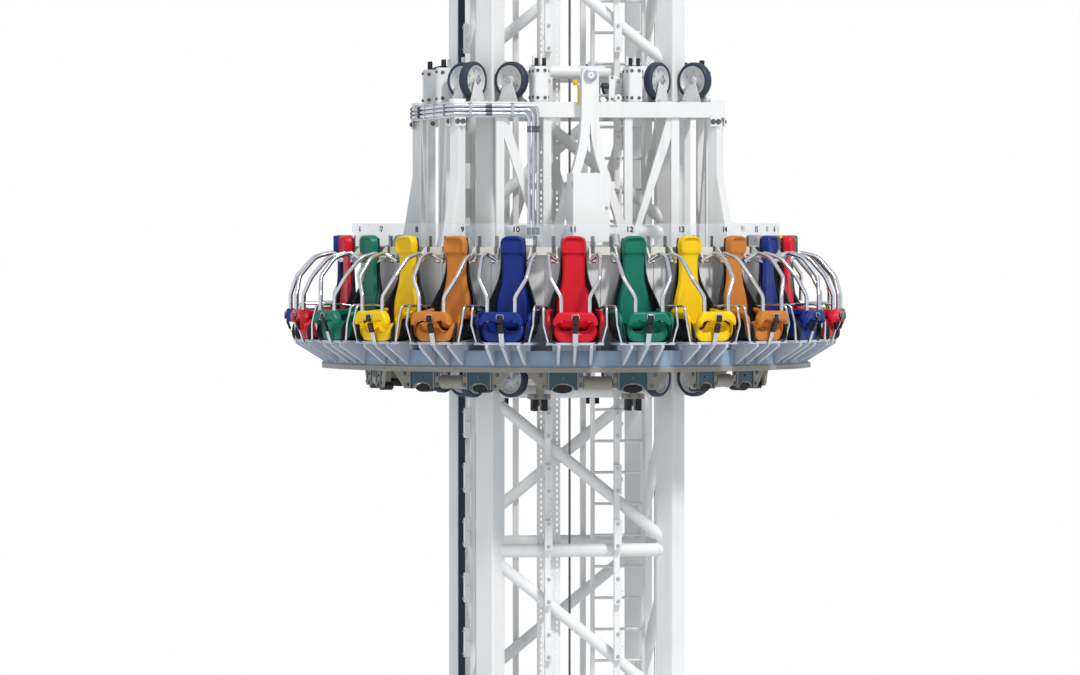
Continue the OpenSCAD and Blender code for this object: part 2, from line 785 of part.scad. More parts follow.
// Seat brackets: wedge-shaped cantilevers with three ribs under each pan
module seat_brackets() {
    tip = seat_front - 4;
    wide = seat_w / 2 + 34;
    plate_z = pan_z - 64;
    color("lightslategray") at_seats() {
        for (x = [-150, 0, 150]) translate([x, 0, 0]) rotate(-90) fin(28)
            polygon([[ring_out + touch, ring_z + 58], [tip, pan_z - 90], [tip, plate_z + 1],
                [ring_out + touch, plate_z + 1]]);
        bar([-wide, wide], [-tip, -seat_r - shell_t], [plate_z, pan_z - 40 - touch]);
        bar([-200, 200], [-ring_out - 10, -seat_r - shell_t], [ring_top + touch, plate_z + 1]);
    }
}

// Restraint: two bent tubes with a lap pad, on pins in the rim's lugs
hub_w = 38;
hub_x = lug_in + lug_t + hub_w / 2 + 4;
pad_arm_x = 130;
module restraint_arm() {
    tube_path([
        [hub_x, -pivot_r, pivot_z],
        [hub_x + 4, -pivot_r - 18, pivot_z + 42],
        [arm_x, -pivot_r - 98, pivot_z + 52],
        [arm_x, -pivot_r - 258, pivot_z + 22],
        [arm_x - 46, -pad_r + 58, pivot_z - 150],
        [pad_arm_x, -pad_r, pivot_z - 318],
        [pad_arm_x, -pad_r, pad_z + 20]],
        [shoulder_bend, 2 * shoulder_bend, arm_bend, 1.3 * arm_bend, arm_bend],
        restraint_d / 2);
    translate([hub_x - hub_w / 2, -pivot_r, pivot_z]) rotate([0, 90, 0])
        cylinder(d = 60, h = hub_w);
    translate([lug_in - 6, -pivot_r, pivot_z]) rotate([0, 90, 0])
        cylinder(d = pin_d, h = hub_x - lug_in);
}
module lap_pad() {
    top = pad_z + pad_h;
    half_outline = [[0, pad_z + 14], [44, pad_z + 14], [70, pad_z + 30], [120, pad_z + 30],
        [160, pad_z + 12], [186, pad_z - 6], [200, pad_z + 12], [168, top - 16], [150, top]];
    upright(-pad_r + 45, 90) {
        polygon(concat(half_outline, [[0, top]]));
        mirror([1, 0]) polygon(concat(half_outline, [[0, top]]));
    }
}
module restraint(n) {
    color("silver") at_seat(n) {
        mirrored_x() restraint_arm();
        lap_pad();
    }
}

// Cabinet on the front hanger's cross bars
cabinet_x = -50;
module control_cabinet() {
    y = -frame_out - touch - hanger_t - touch;
    color("white") {
        bar([cabinet_x - 175, cabinet_x + 175], [y - 340, y], [rim_top + 46, rim_top + 685]);
        bar([cabinet_x - 172, cabinet_x + 172], [y - 352, y - 340], [rim_top + 49, rim_top + 682]);
    }
}
// Conduits along the top frame's left and front beams and down to the cabinet's level
conduit_d = 30;
module conduits() {
    away = -frame_out - touch - conduit_d / 2;
    color("silver") for (i = [0:2]) {
        z = top_z + 34 + i * 38;
        x = -565 + i * 42;
        tube_path([[away, frame_out - 150, z], [away, away, z], [x, away, z],
            [x, away, rim_top + 120]], [44, 60], conduit_d / 2);
    }
}

mast_columns();
lattice_front();
lattice_right();
lattice_rear();
lattice_left();
guide_rails();
cable_tray();
conductor_rail();
access_ladder();
hoist_rope();
rope_beams();
top_frame();
bottom_frame();
corner_legs();
side_frames();
hangers();
wheel_brackets();
wheel_tyres();
wheel_discs();
guide_shoes();
seat_ring();
outriggers();
seat_wall();
seat_rim();
number_screen();
seat_shells();
cushions_red();
cushions_green();
cushions_yellow();
cushions_orange();
cushions_blue();
armrest_hoops();
seat_belts();
seat_brackets();
control_cabinet();
conduits();
for (n = [1:seats]) restraint(n);
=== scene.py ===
"""Finished looks for a packed drop tower ride: its lattice mast and its passenger carriage.

Everything is in metres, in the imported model's frame: Z up, the mast's front towards -Y.
"""

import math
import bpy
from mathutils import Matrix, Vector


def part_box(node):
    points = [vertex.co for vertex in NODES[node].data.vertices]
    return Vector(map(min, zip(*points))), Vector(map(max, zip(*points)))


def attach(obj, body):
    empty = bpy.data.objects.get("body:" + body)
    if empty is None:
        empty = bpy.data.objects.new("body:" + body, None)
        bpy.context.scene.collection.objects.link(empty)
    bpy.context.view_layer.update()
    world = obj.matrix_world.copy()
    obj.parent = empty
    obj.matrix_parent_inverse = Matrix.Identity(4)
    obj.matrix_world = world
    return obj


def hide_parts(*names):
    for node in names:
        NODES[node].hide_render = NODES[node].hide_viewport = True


bl_info = {
    "name": "Drop Tower Ride",
    "version": (1, 0, 0),
    "blender": (4, 5, 0),
    "location": "3D View > Sidebar > Drop Tower",
    "description": "Dresses a packed drop tower ride with its seats, pads, fittings and paints",
    "category": "Object",
}

from itertools import product

import bmesh
import bpy
from bpy.props import FloatProperty, FloatVectorProperty, IntProperty, PointerProperty
from mathutils import Matrix, Vector

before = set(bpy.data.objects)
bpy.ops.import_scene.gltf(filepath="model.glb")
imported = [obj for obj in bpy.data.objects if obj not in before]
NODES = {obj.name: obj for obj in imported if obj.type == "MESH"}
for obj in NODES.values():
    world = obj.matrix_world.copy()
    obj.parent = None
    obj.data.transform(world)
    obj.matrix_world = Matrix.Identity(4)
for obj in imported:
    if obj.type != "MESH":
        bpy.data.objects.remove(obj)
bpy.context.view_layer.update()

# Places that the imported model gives: OUT and IN are distances from the mast's axis
SEATS = 24
SEAT_STEP = math.radians(360 / SEATS)
TONES = ("red", "green", "yellow", "orange", "blue")
COLUMN_OUT = 0.86
FRAME_OUT, FRAME_TOP, BEAM_UNDER = 1.3, 7.515, 7.37
TOP_AXLE, LOW_AXLE = FRAME_TOP + 0.205, 4.925
CONDUIT_OUT = 1.3153
RING_IN, RING_LOW, FLANGE_TOP = 1.9, 5.01, 5.0585
RIM_HIGH, SCREEN_OUT = 6.163, 2.03
SEAT_OUT, PAN_TOP = 2.58, 5.33
# A restraint's hinge: its distance from the axis, and its height
PIVOT = (2.142, 6.04)
BODY_MAST, BODY_CARRIAGE = "mast", "carriage"

# Turns that lay a piece's own Z along another axis of the frame
ALONG_X = Matrix.Rotation(math.pi / 2, 4, "Y")
ALONG_Y = Matrix.Rotation(-math.pi / 2, 4, "X")
FORWARDS = Matrix.Rotation(math.pi / 2, 4, "X")
DOWNWARDS = Matrix.Rotation(math.pi, 4, "X")
# A turned profile starts this far from its axis, so that it has no pinched point there
AXIS = 0.0005
# A fitting stands this far off the face that it is bolted to, so that the two don't flicker
GAP = 0.0003


def at(x, y, z):
    return Matrix.Translation((x, y, z))


def turn(angle):
    return Matrix.Rotation(angle, 4, "Z")


def upright(depth, height=0.0, deep=1, tall=1):
    """Stands the local XY plane up in XZ, at this depth, with local Z going backwards."""
    return Matrix(((1, 0, 0, 0), (0, 0, deep, depth), (0, tall, 0, height), (0, 0, 0, 1)))


def seat_place(n):
    """From a seat's own (across, outwards, up) to the frame."""
    return turn((n - (SEATS - 1) / 2) * SEAT_STEP) @ Matrix.Diagonal((1, -1, 1, 1))


ALL_SEATS = [seat_place(n) for n in range(1, SEATS + 1)]
# Each turns what is drawn on the front face to one of the four faces
FACES = [turn(math.radians(90 * side)) for side in range(4)]
FRONT_AND_REAR = (FACES[0], FACES[2])
# Each has the column's outward way as its X
COLUMNS = [face @ at(COLUMN_OUT, COLUMN_OUT, 0) @ turn(math.radians(45)) for face in FACES]


def seat_tone(n):
    """Colour name of seat n, counted from 1."""
    return TONES[(n - 1) % len(TONES)]


def wheel_places(z):
    """One place a wheel: local X is the column's outward way, local Y the axle's."""
    found = []
    for column in COLUMNS:
        found.append(column @ at(0.2755, 0, z))
        found += [column @ at(0.04, s * 0.2755, z) @ turn(math.pi / 2) for s in (-1, 1)]
    return found


def ease(t):
    t = max(0.0, min(1.0, t))
    return t * t * (3 - 2 * t)


def squared(value, power):
    """A sine or cosine pushed outwards, which makes an oval squarer."""
    return math.copysign(abs(value) ** power, value)


def angles(count, first=0.0):
    """Evenly spread angles of a full turn."""
    return [first + 2 * math.pi * i / count for i in range(count)]


def mirrored(*values):
    """These values on both sides of zero, with zero between them."""
    return [-value for value in reversed(values)] + [0.0, *values]


def both_sides(*half):
    """An outline from its right half, listed upwards."""
    return list(half) + [(-x, y) for x, y in reversed(half)]


def both_ends(*half):
    """A turned profile from its upper half, listed downwards."""
    return list(half) + [(r, -h) for r, h in reversed(half)]


def rounded_path(points, radii, step=math.radians(12)):
    """The points joined by straight runs, with a true arc of each radius between them."""
    points = [Vector(p) for p in points]
    path = [points[0]]
    for before, corner, after, radius in zip(points, points[1:], points[2:], radii):
        a, b = (before - corner).normalized(), (after - corner).normalized()
        turned = math.pi - a.angle(b)
        cut = radius * math.tan(turned / 2)
        centre = corner + (a + b).normalized() * (radius / math.cos(turned / 2))
        start, end = corner + a * cut - centre, corner + b * cut - centre
        steps = max(2, round(turned / step))
        for i in range(steps + 1):
            t = i / steps
            path.append(centre + (start * math.sin((1 - t) * turned)
                                  + end * math.sin(t * turned)) / math.sin(turned))
    return path + [points[-1]]


# Mesh building
class Shape:
    """Points and faces of one piece under construction."""

    def __init__(self):
        self.points, self.faces = [], []

    def add(self, points, faces, place=Matrix()):
        base = len(self.points)
        self.points += [place @ Vector(p) for p in points]
        self.faces += [tuple(base + i for i in face) for face in faces]
        return self

    def copies(self, places):
        """The same shape once at each place."""
        out = Shape()
        for place in places:
            out.add(self.points, self.faces, place)
        return out

    def mesh_copy(self, mesh, place=Matrix()):
        return self.add([v.co for v in mesh.vertices], [tuple(p.vertices) for p in mesh.polygons],
                        place)

    def box(self, corner, opposite, place=Matrix()):
        (a, d), (b, e), (c, f) = (sorted(pair) for pair in zip(corner, opposite))
        return self.prism([(a, b), (d, b), (d, e), (a, e)], c, f, place)

    def prism(self, outline, low, high, place=Matrix()):
        """An outline in the local XY plane, from height low to height high."""
        return self.loft([[(x, y, z) for x, y in outline] for z in (low, high)], place)

    def loft(self, rings, place=Matrix()):
        """Closed rings of equal count joined in order, with both ends closed."""
        n = len(rings[0])
        faces = [(i * n + j, i * n + (j + 1) % n, (i + 1) * n + (j + 1) % n, (i + 1) * n + j)
                 for i in range(len(rings) - 1) for j in range(n)]
        last = (len(rings) - 1) * n
        faces += [tuple(range(n))[::-1], tuple(range(last, last + n))]
        return self.add([p for ring in rings for p in ring], faces, place)

    def lathe(self, profile, place=Matrix(), steps=32):
        """A closed profile of (radius, height) turned about local Z."""
        n = len(profile)
        points = [(r * math.cos(a), r * math.sin(a), h)
                  for a in angles(steps) for r, h in profile]
        faces = [(i * n + j, (i + 1) % steps * n + j, (i + 1) % steps * n + (j + 1) % n,
                  i * n + (j + 1) % n) for i in range(steps) for j in range(n)]
        return self.add(points, faces, place)

    def button(self, radius, low, shoulder, crown, top, place=Matrix(), steps=24, bore=AXIS):
        """A turned disc or ring whose upper edge is chamfered in to the radius crown."""
        return self.lathe([(bore, low), (radius, low), (radius, shoulder), (crown, top),
                           (bore, top)], place, steps)

    def ring(self, inner, outer, low, high, place=Matrix(), steps=24):
        return self.lathe([(inner, low), (outer, low), (outer, high), (inner, high)], place, steps)

    def sweep(self, path, radius, sides=12, place=Matrix()):
        """A round tube along a path."""
        path = [Vector(p) for p in path]
        across = (path[1] - path[0]).normalized().orthogonal().normalized()
        rings = []
        for i, p in enumerate(path):
            ahead = (path[min(i + 1, len(path) - 1)] - path[max(i - 1, 0)]).normalized()
            across = (across - ahead * across.dot(ahead)).normalized()
            up = ahead.cross(across)
            rings.append([p + radius * (across * math.cos(a) + up * math.sin(a))
                          for a in angles(sides)])
        return self.loft(rings, place)

    def rod(self, start, end, radius, sides=16):
        return self.sweep([start, end], radius, sides)


# The material of each finish, by name
FINISHES = {}


def linked(name, data):
    """A new object of this data in the scene."""
    made = bpy.data.objects.new(name, data)
    bpy.context.scene.collection.objects.link(made)
    return made


def cleaned(mesh, merge=0.0, flat=0.0, source=None):
    """Welds a mesh, joins its coplanar faces and turns all its faces outwards."""
    work = bmesh.new()
    work.from_mesh(source.data if source else mesh)
    if source:
        work.transform(source.matrix_world)
    if merge:
        bmesh.ops.remove_doubles(work, verts=work.verts, dist=merge)
    if flat:
        bmesh.ops.dissolve_limit(work, angle_limit=flat, verts=work.verts, edges=work.edges)
    bmesh.ops.recalc_face_normals(work, faces=work.faces)
    work.to_mesh(mesh)
    work.free()
    return mesh


def piece(name, shape, finish, replaces=(), body=BODY_CARRIAGE, bevel=0.0, rounds=0,
          merge=0.0):
    """Makes a shape into a finished object that rides on a body."""
    mesh = bpy.data.meshes.new(name)
    mesh.from_pydata(shape.points, [], shape.faces)
    cleaned(mesh, merge)
    mesh.shade_smooth()
    sharp = math.radians(38)
    if not bevel and not rounds:
        mesh.set_sharp_from_angle(angle=sharp)
    mesh.materials.append(FINISHES[finish])
    made = linked(name, mesh)
    if bevel:
        edge = made.modifiers.new("Edges", "BEVEL")
        edge.width, edge.segments, edge.limit_method = bevel, 2, "ANGLE"
        edge.angle_limit, edge.harden_normals = sharp, True
        edge.use_clamp_overlap = True
    if rounds:
        smooth = made.modifiers.new("Rounding", "SUBSURF")
        smooth.levels = smooth.render_levels = rounds
    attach(made, body)
    if replaces:
        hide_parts(*replaces)
    return made


def softened(node, finish, edge, body=BODY_CARRIAGE):
    """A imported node's own form with its sharp edges rolled, standing in for it."""
    mesh = cleaned(bpy.data.meshes.new(node), 1e-5, math.radians(1.5), NODES[node])
    piece(node + "_rolled", Shape().mesh_copy(mesh), finish, [node], body=body, bevel=edge)


def evaluated(data, kind=None, inputs=None, **settings):
    """The mesh that this data gives, after a modifier of this kind if one is named."""
    holder = linked("holder", data)
    if kind:
        modifier = holder.modifiers.new(kind, kind)
        for name, value in settings.items():
            setattr(modifier, name, value)
    if inputs:
        names = {item.name: item.identifier for item in modifier.node_group.interface.items_tree
                 if item.in_out == "INPUT"}
        for name, value in inputs.items():
            modifier[names[name]] = value
        holder.update_tag()
        bpy.context.view_layer.update()
    graph = bpy.context.evaluated_depsgraph_get()
    mesh = bpy.data.meshes.new_from_object(holder.evaluated_get(graph))
    bpy.data.objects.remove(holder)
    return mesh


# Node trees
class Graph:
    """Builds a node tree: an input takes a value, an output to link to it, or a list of those."""

    def __init__(self, tree):
        self.tree = tree

    def add(self, kind, inputs=None, get=0, **settings):
        """A new node, given as the named one of its outputs if it has any."""
        made = self.tree.nodes.new(kind)
        for name, value in settings.items():
            setattr(made, name, value)
        for name, value in (inputs or {}).items():
            for one in value if isinstance(value, list) else [value]:
                if isinstance(one, bpy.types.NodeSocket):
                    self.tree.links.new(one, made.inputs[name])
                else:
                    made.inputs[name].default_value = one
        return made.outputs[get] if made.outputs else made

    def maths(self, operation, *values):
        return self.add("ShaderNodeMath", dict(enumerate(values)), operation=operation)


class Group(Graph):
    """A geometry node group with number inputs, which ends in one material on real geometry."""

    def __init__(self, name, inputs):
        super().__init__(bpy.data.node_groups.new(name, "GeometryNodeTree"))
        new = self.tree.interface.new_socket
        new("Geometry", in_out="INPUT", socket_type="NodeSocketGeometry")
        for label, value in inputs.items():
            kind = "Int" if isinstance(value, int) else "Float"
            new(label, in_out="INPUT", socket_type="NodeSocket" + kind).default_value = value
        new("Material", in_out="INPUT", socket_type="NodeSocketMaterial")
        new("Geometry", in_out="OUTPUT", socket_type="NodeSocketGeometry")
        self.given = self.tree.nodes.new("NodeGroupInput").outputs

    def finish(self, geometry):
        real = self.add("GeometryNodeRealizeInstances", {0: geometry})
        self.add("NodeGroupOutput", {0: self.add("GeometryNodeSetMaterial", {
            "Geometry": real, "Material": self.given["Material"]})})
        return self.tree


def bolt_group():
    """Hexagon bolts on washers, one at each point, along the point's own axis."""
    group = Group("Hexagon bolts", {"Across flats": 0.024, "Head height": 0.013,
                                    "Washer thickness": 0.003})
    given, parts = group.given, []
    for corners, factor, height in ((6, 0.577, "Head height"), (12, 0.85, "Washer thickness")):
        solid = group.add("GeometryNodeMeshCylinder", {
            "Vertices": corners, "Depth": given[height],
            "Radius": group.maths("MULTIPLY", given["Across flats"], factor)}, "Mesh")
        up = group.add("ShaderNodeCombineXYZ", {"Z": group.maths("MULTIPLY", given[height], 0.5)})
        parts.append(group.add("GeometryNodeTransform", {"Geometry": solid, "Translation": up}))
    axis, size = (group.add("GeometryNodeInputNamedAttribute", {"Name": name}, data_type=kind)
                  for name, kind in (("axis", "FLOAT_VECTOR"), ("size", "FLOAT")))
    return group.finish(group.add("GeometryNodeInstanceOnPoints", {
        "Points": given["Geometry"],
        "Instance": group.add("GeometryNodeJoinGeometry", {0: parts}),
        "Rotation": group.add("FunctionNodeAlignRotationToVector", {"Vector": axis}, axis="Z"),
        "Scale": size}))


def slot_group():
    """A flat sheet with rows of round-ended slots, lying in the XY plane."""
    group = Group("Slotted sheet", {
        "Width": 0.2, "Height": 1.0, "Thickness": 0.003, "Slot width": 0.008,
        "Slot length": 0.025, "Columns": 3, "Rows": 10, "Column pitch": 0.05,
        "Row pitch": 0.054})
    given = group.given
    sheet, slot = (group.add("GeometryNodeCurvePrimitiveQuadrilateral", {
        "Width": given[wide], "Height": given[high]})
        for wide, high in (("Width", "Height"), ("Slot width", "Slot length")))
    spans = [group.maths("MULTIPLY", group.maths("SUBTRACT", given[count], 1), given[pitch])
             for count, pitch in (("Columns", "Column pitch"), ("Rows", "Row pitch"))]
    grid = group.add("GeometryNodeMeshGrid", {
        "Vertices X": given["Columns"], "Vertices Y": given["Rows"],
        "Size X": spans[0], "Size Y": spans[1]}, "Mesh")
    rounded = group.add("GeometryNodeFilletCurve", {
        "Count": 3, "Curve": slot, "Radius": group.maths("MULTIPLY", given["Slot width"], 0.48)},
        mode="POLY")
    slots = group.add("GeometryNodeInstanceOnPoints", {"Points": grid, "Instance": rounded})
    outlines = group.add("GeometryNodeJoinGeometry", {
        0: [sheet, group.add("GeometryNodeRealizeInstances", {0: slots})]})
    fill = group.add("GeometryNodeFillCurve", {0: outlines})
    thick = group.add("GeometryNodeExtrudeMesh", {
        "Individual": False, "Mesh": fill, "Offset Scale": given["Thickness"]}, "Mesh")
    under = group.add("GeometryNodeFlipFaces", {0: fill})
    both = group.add("GeometryNodeJoinGeometry", {0: [thick, under]})
    return group.finish(group.add("GeometryNodeMergeByDistance", {0: both, "Distance": 1e-5}))


def rope_group():
    """The strands of a laid rope, each a spiral along Z."""
    group = Group("Laid rope", {"Rope radius": 0.012, "Strand radius": 0.005, "Height": 9.0,
                                "Turns": 58.0, "Strands": 6})
    given = group.given
    gap = group.maths("SUBTRACT", given["Rope radius"], given["Strand radius"])
    spiral = group.add("GeometryNodeCurveSpiral", {
        "Resolution": 8, "Start Radius": gap, "End Radius": gap, "Height": given["Height"],
        "Rotations": given["Turns"]})
    section = group.add("GeometryNodeCurvePrimitiveCircle", {
        "Resolution": 6, "Radius": given["Strand radius"]})
    tube = group.add("GeometryNodeCurveToMesh", {
        "Fill Caps": True, "Curve": spiral, "Profile Curve": section})
    share = group.maths("DIVIDE", group.add("GeometryNodeInputIndex"), given["Strands"])
    twist = group.add("ShaderNodeCombineXYZ", {"Z": group.maths("MULTIPLY", share, 2 * math.pi)})
    return group.finish(group.add("GeometryNodeInstanceOnPoints", {
        "Points": group.add("GeometryNodePoints", {"Count": given["Strands"]}),
        "Instance": tube, "Rotation": twist}))


GROUPS = {"Hexagon bolts": bolt_group, "Slotted sheet": slot_group, "Laid rope": rope_group}


def grown(name, finish, values, source=None):
    """The mesh that the named node group makes with these inputs."""
    tree = bpy.data.node_groups.get(name) or GROUPS[name]()
    return evaluated(source or bpy.data.meshes.new("holder"), "NODES",
                     {**values, "Material": FINISHES[finish]}, node_group=tree)


def slotted(finish, size, slot, counts, pitches):
    """A sheet with slots, by its size, a slot's size, and the counts and pitches both ways."""
    labels = ("Width", "Height", "Slot width", "Slot length", "Columns", "Rows", "Column pitch",
              "Row pitch")
    values = dict(zip(labels, (*size, *slot, *counts, *pitches)))
    return grown("Slotted sheet", finish, {**values, "Thickness": 0.003})


class Bolts:
    """Places for bolts, and the group that makes one at each along its own axis."""

    def __init__(self):
        self.spots = []

    def put(self, point, way=(0, -1, 0), size=1.0, place=Matrix()):
        self.spots.append((place @ Vector(point), place.to_3x3() @ Vector(way), size))

    def make(self, name, finish, body=BODY_CARRIAGE, flats=None):
        flats = flats or bpy.context.scene.tower_sizes.bolt_flats
        source = bpy.data.meshes.new(name + "_spots")
        source.from_pydata([spot[0] for spot in self.spots], [], [])
        source.attributes.new("axis", "FLOAT_VECTOR", "POINT")
        source.attributes.new("size", "FLOAT", "POINT")
        for i, (_, way, size) in enumerate(self.spots):
            source.attributes["axis"].data[i].vector = way
            source.attributes["size"].data[i].value = size
        mesh = grown("Hexagon bolts", finish, {
            "Across flats": flats, "Head height": flats * 0.55,
            "Washer thickness": flats * 0.12}, source)
        piece(name, Shape().mesh_copy(mesh), finish, body=body)


# Finishes
class Finish(Graph):
    """One painted, moulded, rubber or metal surface, drawn by nodes in object coordinates."""

    def __init__(self, name, colour, roughness=0.4, metallic=0.0, specular=0.5, alpha=1.0):
        self.material = bpy.data.materials.new(name)
        self.material.use_nodes = True
        super().__init__(self.material.node_tree)
        self.tree.nodes.clear()
        self.shader = self.tree.nodes.new("ShaderNodeBsdfPrincipled")
        self.out = self.add("ShaderNodeOutputMaterial", {0: self.shader.outputs[0]})
        self.coords = self.add("ShaderNodeTexCoord", get="Object")
        self.colour, self.normal = (*colour, 1), None
        for label, value in (("Base Color", self.colour), ("Roughness", roughness),
                             ("Metallic", metallic), ("Specular IOR Level", specular),
                             ("Alpha", alpha)):
            self.shader.inputs[label].default_value = value

    def feed(self, label, output):
        self.tree.links.new(output, self.shader.inputs[label])
        return output

    def ramp(self, value, low, high, start=0.0, end=1.0):
        return self.add("ShaderNodeMapRange", {"Value": value, "From Min": low, "From Max": high,
                                               "To Min": start, "To Max": end})

    def mask(self, scale, low, high, amount=1.0, stretch=(1, 1, 1), kind="Noise", detail=3.0,
             base=0.0):
        """A texture's strength between two levels, from base to amount."""
        placed = self.add("ShaderNodeMapping", {"Scale": stretch, "Vector": self.coords})
        inputs = {"Scale": scale, "Vector": placed}
        if kind == "Noise":
            inputs["Detail"] = detail
        texture = self.add("ShaderNodeTex" + kind, inputs, "Distance" if kind == "Voronoi" else 0)
        return self.ramp(texture, low, high, base, amount)

    def above(self, height, spread=0.002):
        """1 above a height of the frame, 0 below it."""
        up = self.add("ShaderNodeSeparateXYZ", {0: self.coords}, "Z")
        return self.ramp(up, height - spread, height + spread)

    def tint(self, colour, mask):
        mix = {"Factor": mask, "A": self.colour, "B": (*colour, 1)}
        self.colour = self.feed("Base Color", self.add("ShaderNodeMix", mix, "Result",
                                                       data_type="RGBA"))

    def gloss(self, low, high, scale=8.0):
        """Roughness that wanders between two values."""
        self.feed("Roughness", self.mask(scale, 0.3, 0.7, high, detail=2.0, base=low))

    def bump(self, mask, depth, strength=0.5):
        inputs = {"Strength": strength, "Distance": depth, "Height": mask}
        if self.normal is not None:
            inputs["Normal"] = self.normal
        self.normal = self.feed("Normal", self.add("ShaderNodeBump", inputs))


def scaled(colour, factor, extra=0.0):
    return tuple(min(1, c * factor + extra) for c in colour)


def outdoor_paint(name, colour, rust=False, gloss=(0.28, 0.46)):
    """Sprayed steel paint that has stood outside: cloudy, with rain streaks and fine peel."""
    made, dirt = Finish(name, colour, specular=0.45), (0.34, 0.31, 0.26)
    made.tint(scaled(colour, 0.84), made.mask(0.9, 0.42, 0.72, 0.55))
    made.tint(dirt, made.mask(7.0, 0.58, 0.86, 0.3, (1, 1, 0.07), detail=6.0))
    made.tint(dirt, made.mask(55.0, 0.66, 0.8, 0.22, detail=2.0))
    if rust:
        made.tint((0.3, 0.13, 0.045), made.mask(5.0, 0.735, 0.8, 0.55, (1, 1, 0.16), detail=8.0))
    made.gloss(*gloss, scale=5.0)
    made.bump(made.mask(140.0, 0.3, 0.7, detail=2.0), 0.0004, 0.25)
    made.bump(made.mask(4.0, 0.3, 0.7, detail=1.0), 0.002, 0.12)
    return made.material


def metal(name, colour, gloss, spangle=0.0, brushed=0.0):
    made = Finish(name, colour, metallic=1.0)
    if spangle:
        made.tint(scaled(colour, 0.72), made.mask(60.0, 0.1, 0.7, spangle, kind="Voronoi"))
        made.tint(scaled(colour, 0.55), made.mask(9.0, 0.55, 0.75, 0.4))
    else:
        made.tint(scaled(colour, 0.7), made.mask(30.0, 0.6, 0.75, 0.35))
    made.gloss(*gloss, scale=18.0)
    if brushed:
        made.bump(made.mask(300.0, 0.3, 0.7, stretch=(1, 1, 0.05)), 0.0002, brushed)
    return made.material


def moulded(name, colour, gloss=(0.34, 0.48), grain=520.0):
    """Skinned foam or moulded plastic with a fine leather-like grain."""
    made = Finish(name, colour, specular=0.32)
    made.tint(scaled(colour, 0.78), made.mask(5.0, 0.45, 0.75, 0.5))
    made.tint(scaled(colour, 1.2, 0.004), made.mask(38.0, 0.62, 0.78, 0.25, detail=5.0))
    made.gloss(*gloss, scale=14.0)
    made.bump(made.mask(grain, 0.0, 0.6, kind="Voronoi"), 0.00035, 0.35)
    made.bump(made.mask(26.0, 0.3, 0.7, detail=2.0), 0.0012, 0.18)
    return made.material


def clear_plastic(name, colour):
    made = Finish(name, colour, roughness=0.12, specular=0.6, alpha=0.15)
    made.tint(scaled(colour, 0.9), made.mask(3.0, 0.45, 0.75, 0.6, (1, 1, 0.3)))
    made.gloss(0.08, 0.2, scale=11.0)
    made.bump(made.mask(2.0, 0.3, 0.7, detail=1.0), 0.002, 0.08)
    return made.material


def webbing(name, colour):
    """Woven strap: a fine two-way rib in the surface."""
    made = Finish(name, colour, roughness=0.75, specular=0.25)
    for stretch in ((1, 0.02, 0.02), (0.02, 0.02, 1)):
        made.bump(made.mask(380.0, 0.2, 0.8, stretch=stretch, kind="Wave"), 0.0004, 0.5)
    made.tint(scaled(colour, 1.6, 0.01), made.mask(120.0, 0.55, 0.7, 0.5))
    made.gloss(0.62, 0.82, scale=40.0)
    return made.material


def ring_paint(name, upper, lower):
    """Streaked paint in two colours, which change at the ring's lower flange; the lower colour is
    beige darkened with painted shade.
    """
    made = Finish(name, lower, specular=0.45)
    # The upper colour is the ring's blue-grey, partly darkened with painted shade
    made.tint(upper, made.above(FLANGE_TOP))
    made.tint((0.05, 0.055, 0.06), made.mask(6.0, 0.6, 0.8, 0.35, (1, 1, 0.1), detail=6.0))
    made.gloss(0.3, 0.46)
    made.bump(made.mask(140.0, 0.3, 0.7, detail=2.0), 0.0004, 0.25)
    return made.material


def pale_floor():
    """A pale floor near the mast that melts into the white surroundings further off."""
    made = Finish("pale_floor", (0.86, 0.86, 0.86), roughness=0.9)
    reach = made.add("ShaderNodeVectorMath", {0: made.coords}, "Value", operation="LENGTH")
    seen = made.add("ShaderNodeLightPath", get="Is Camera Ray")
    far = made.maths("MULTIPLY", made.ramp(reach, 5.0, 16.0), seen)
    mix = {0: far, 1: made.shader.outputs[0], 2: made.add("ShaderNodeEmission")}
    made.tree.links.new(made.add("ShaderNodeMixShader", mix), made.out.inputs[0])
    return made.material


# Settings
def colour_setting(name, description, default):
    return FloatVectorProperty(name=name, description=description, default=default, size=3,
                               subtype="COLOR", min=0.0, max=1.0)


def length_setting(name, description, default):
    return FloatProperty(name=name, description=description, default=default, min=0.0005,
                         max=60.0, subtype="DISTANCE", unit="LENGTH")


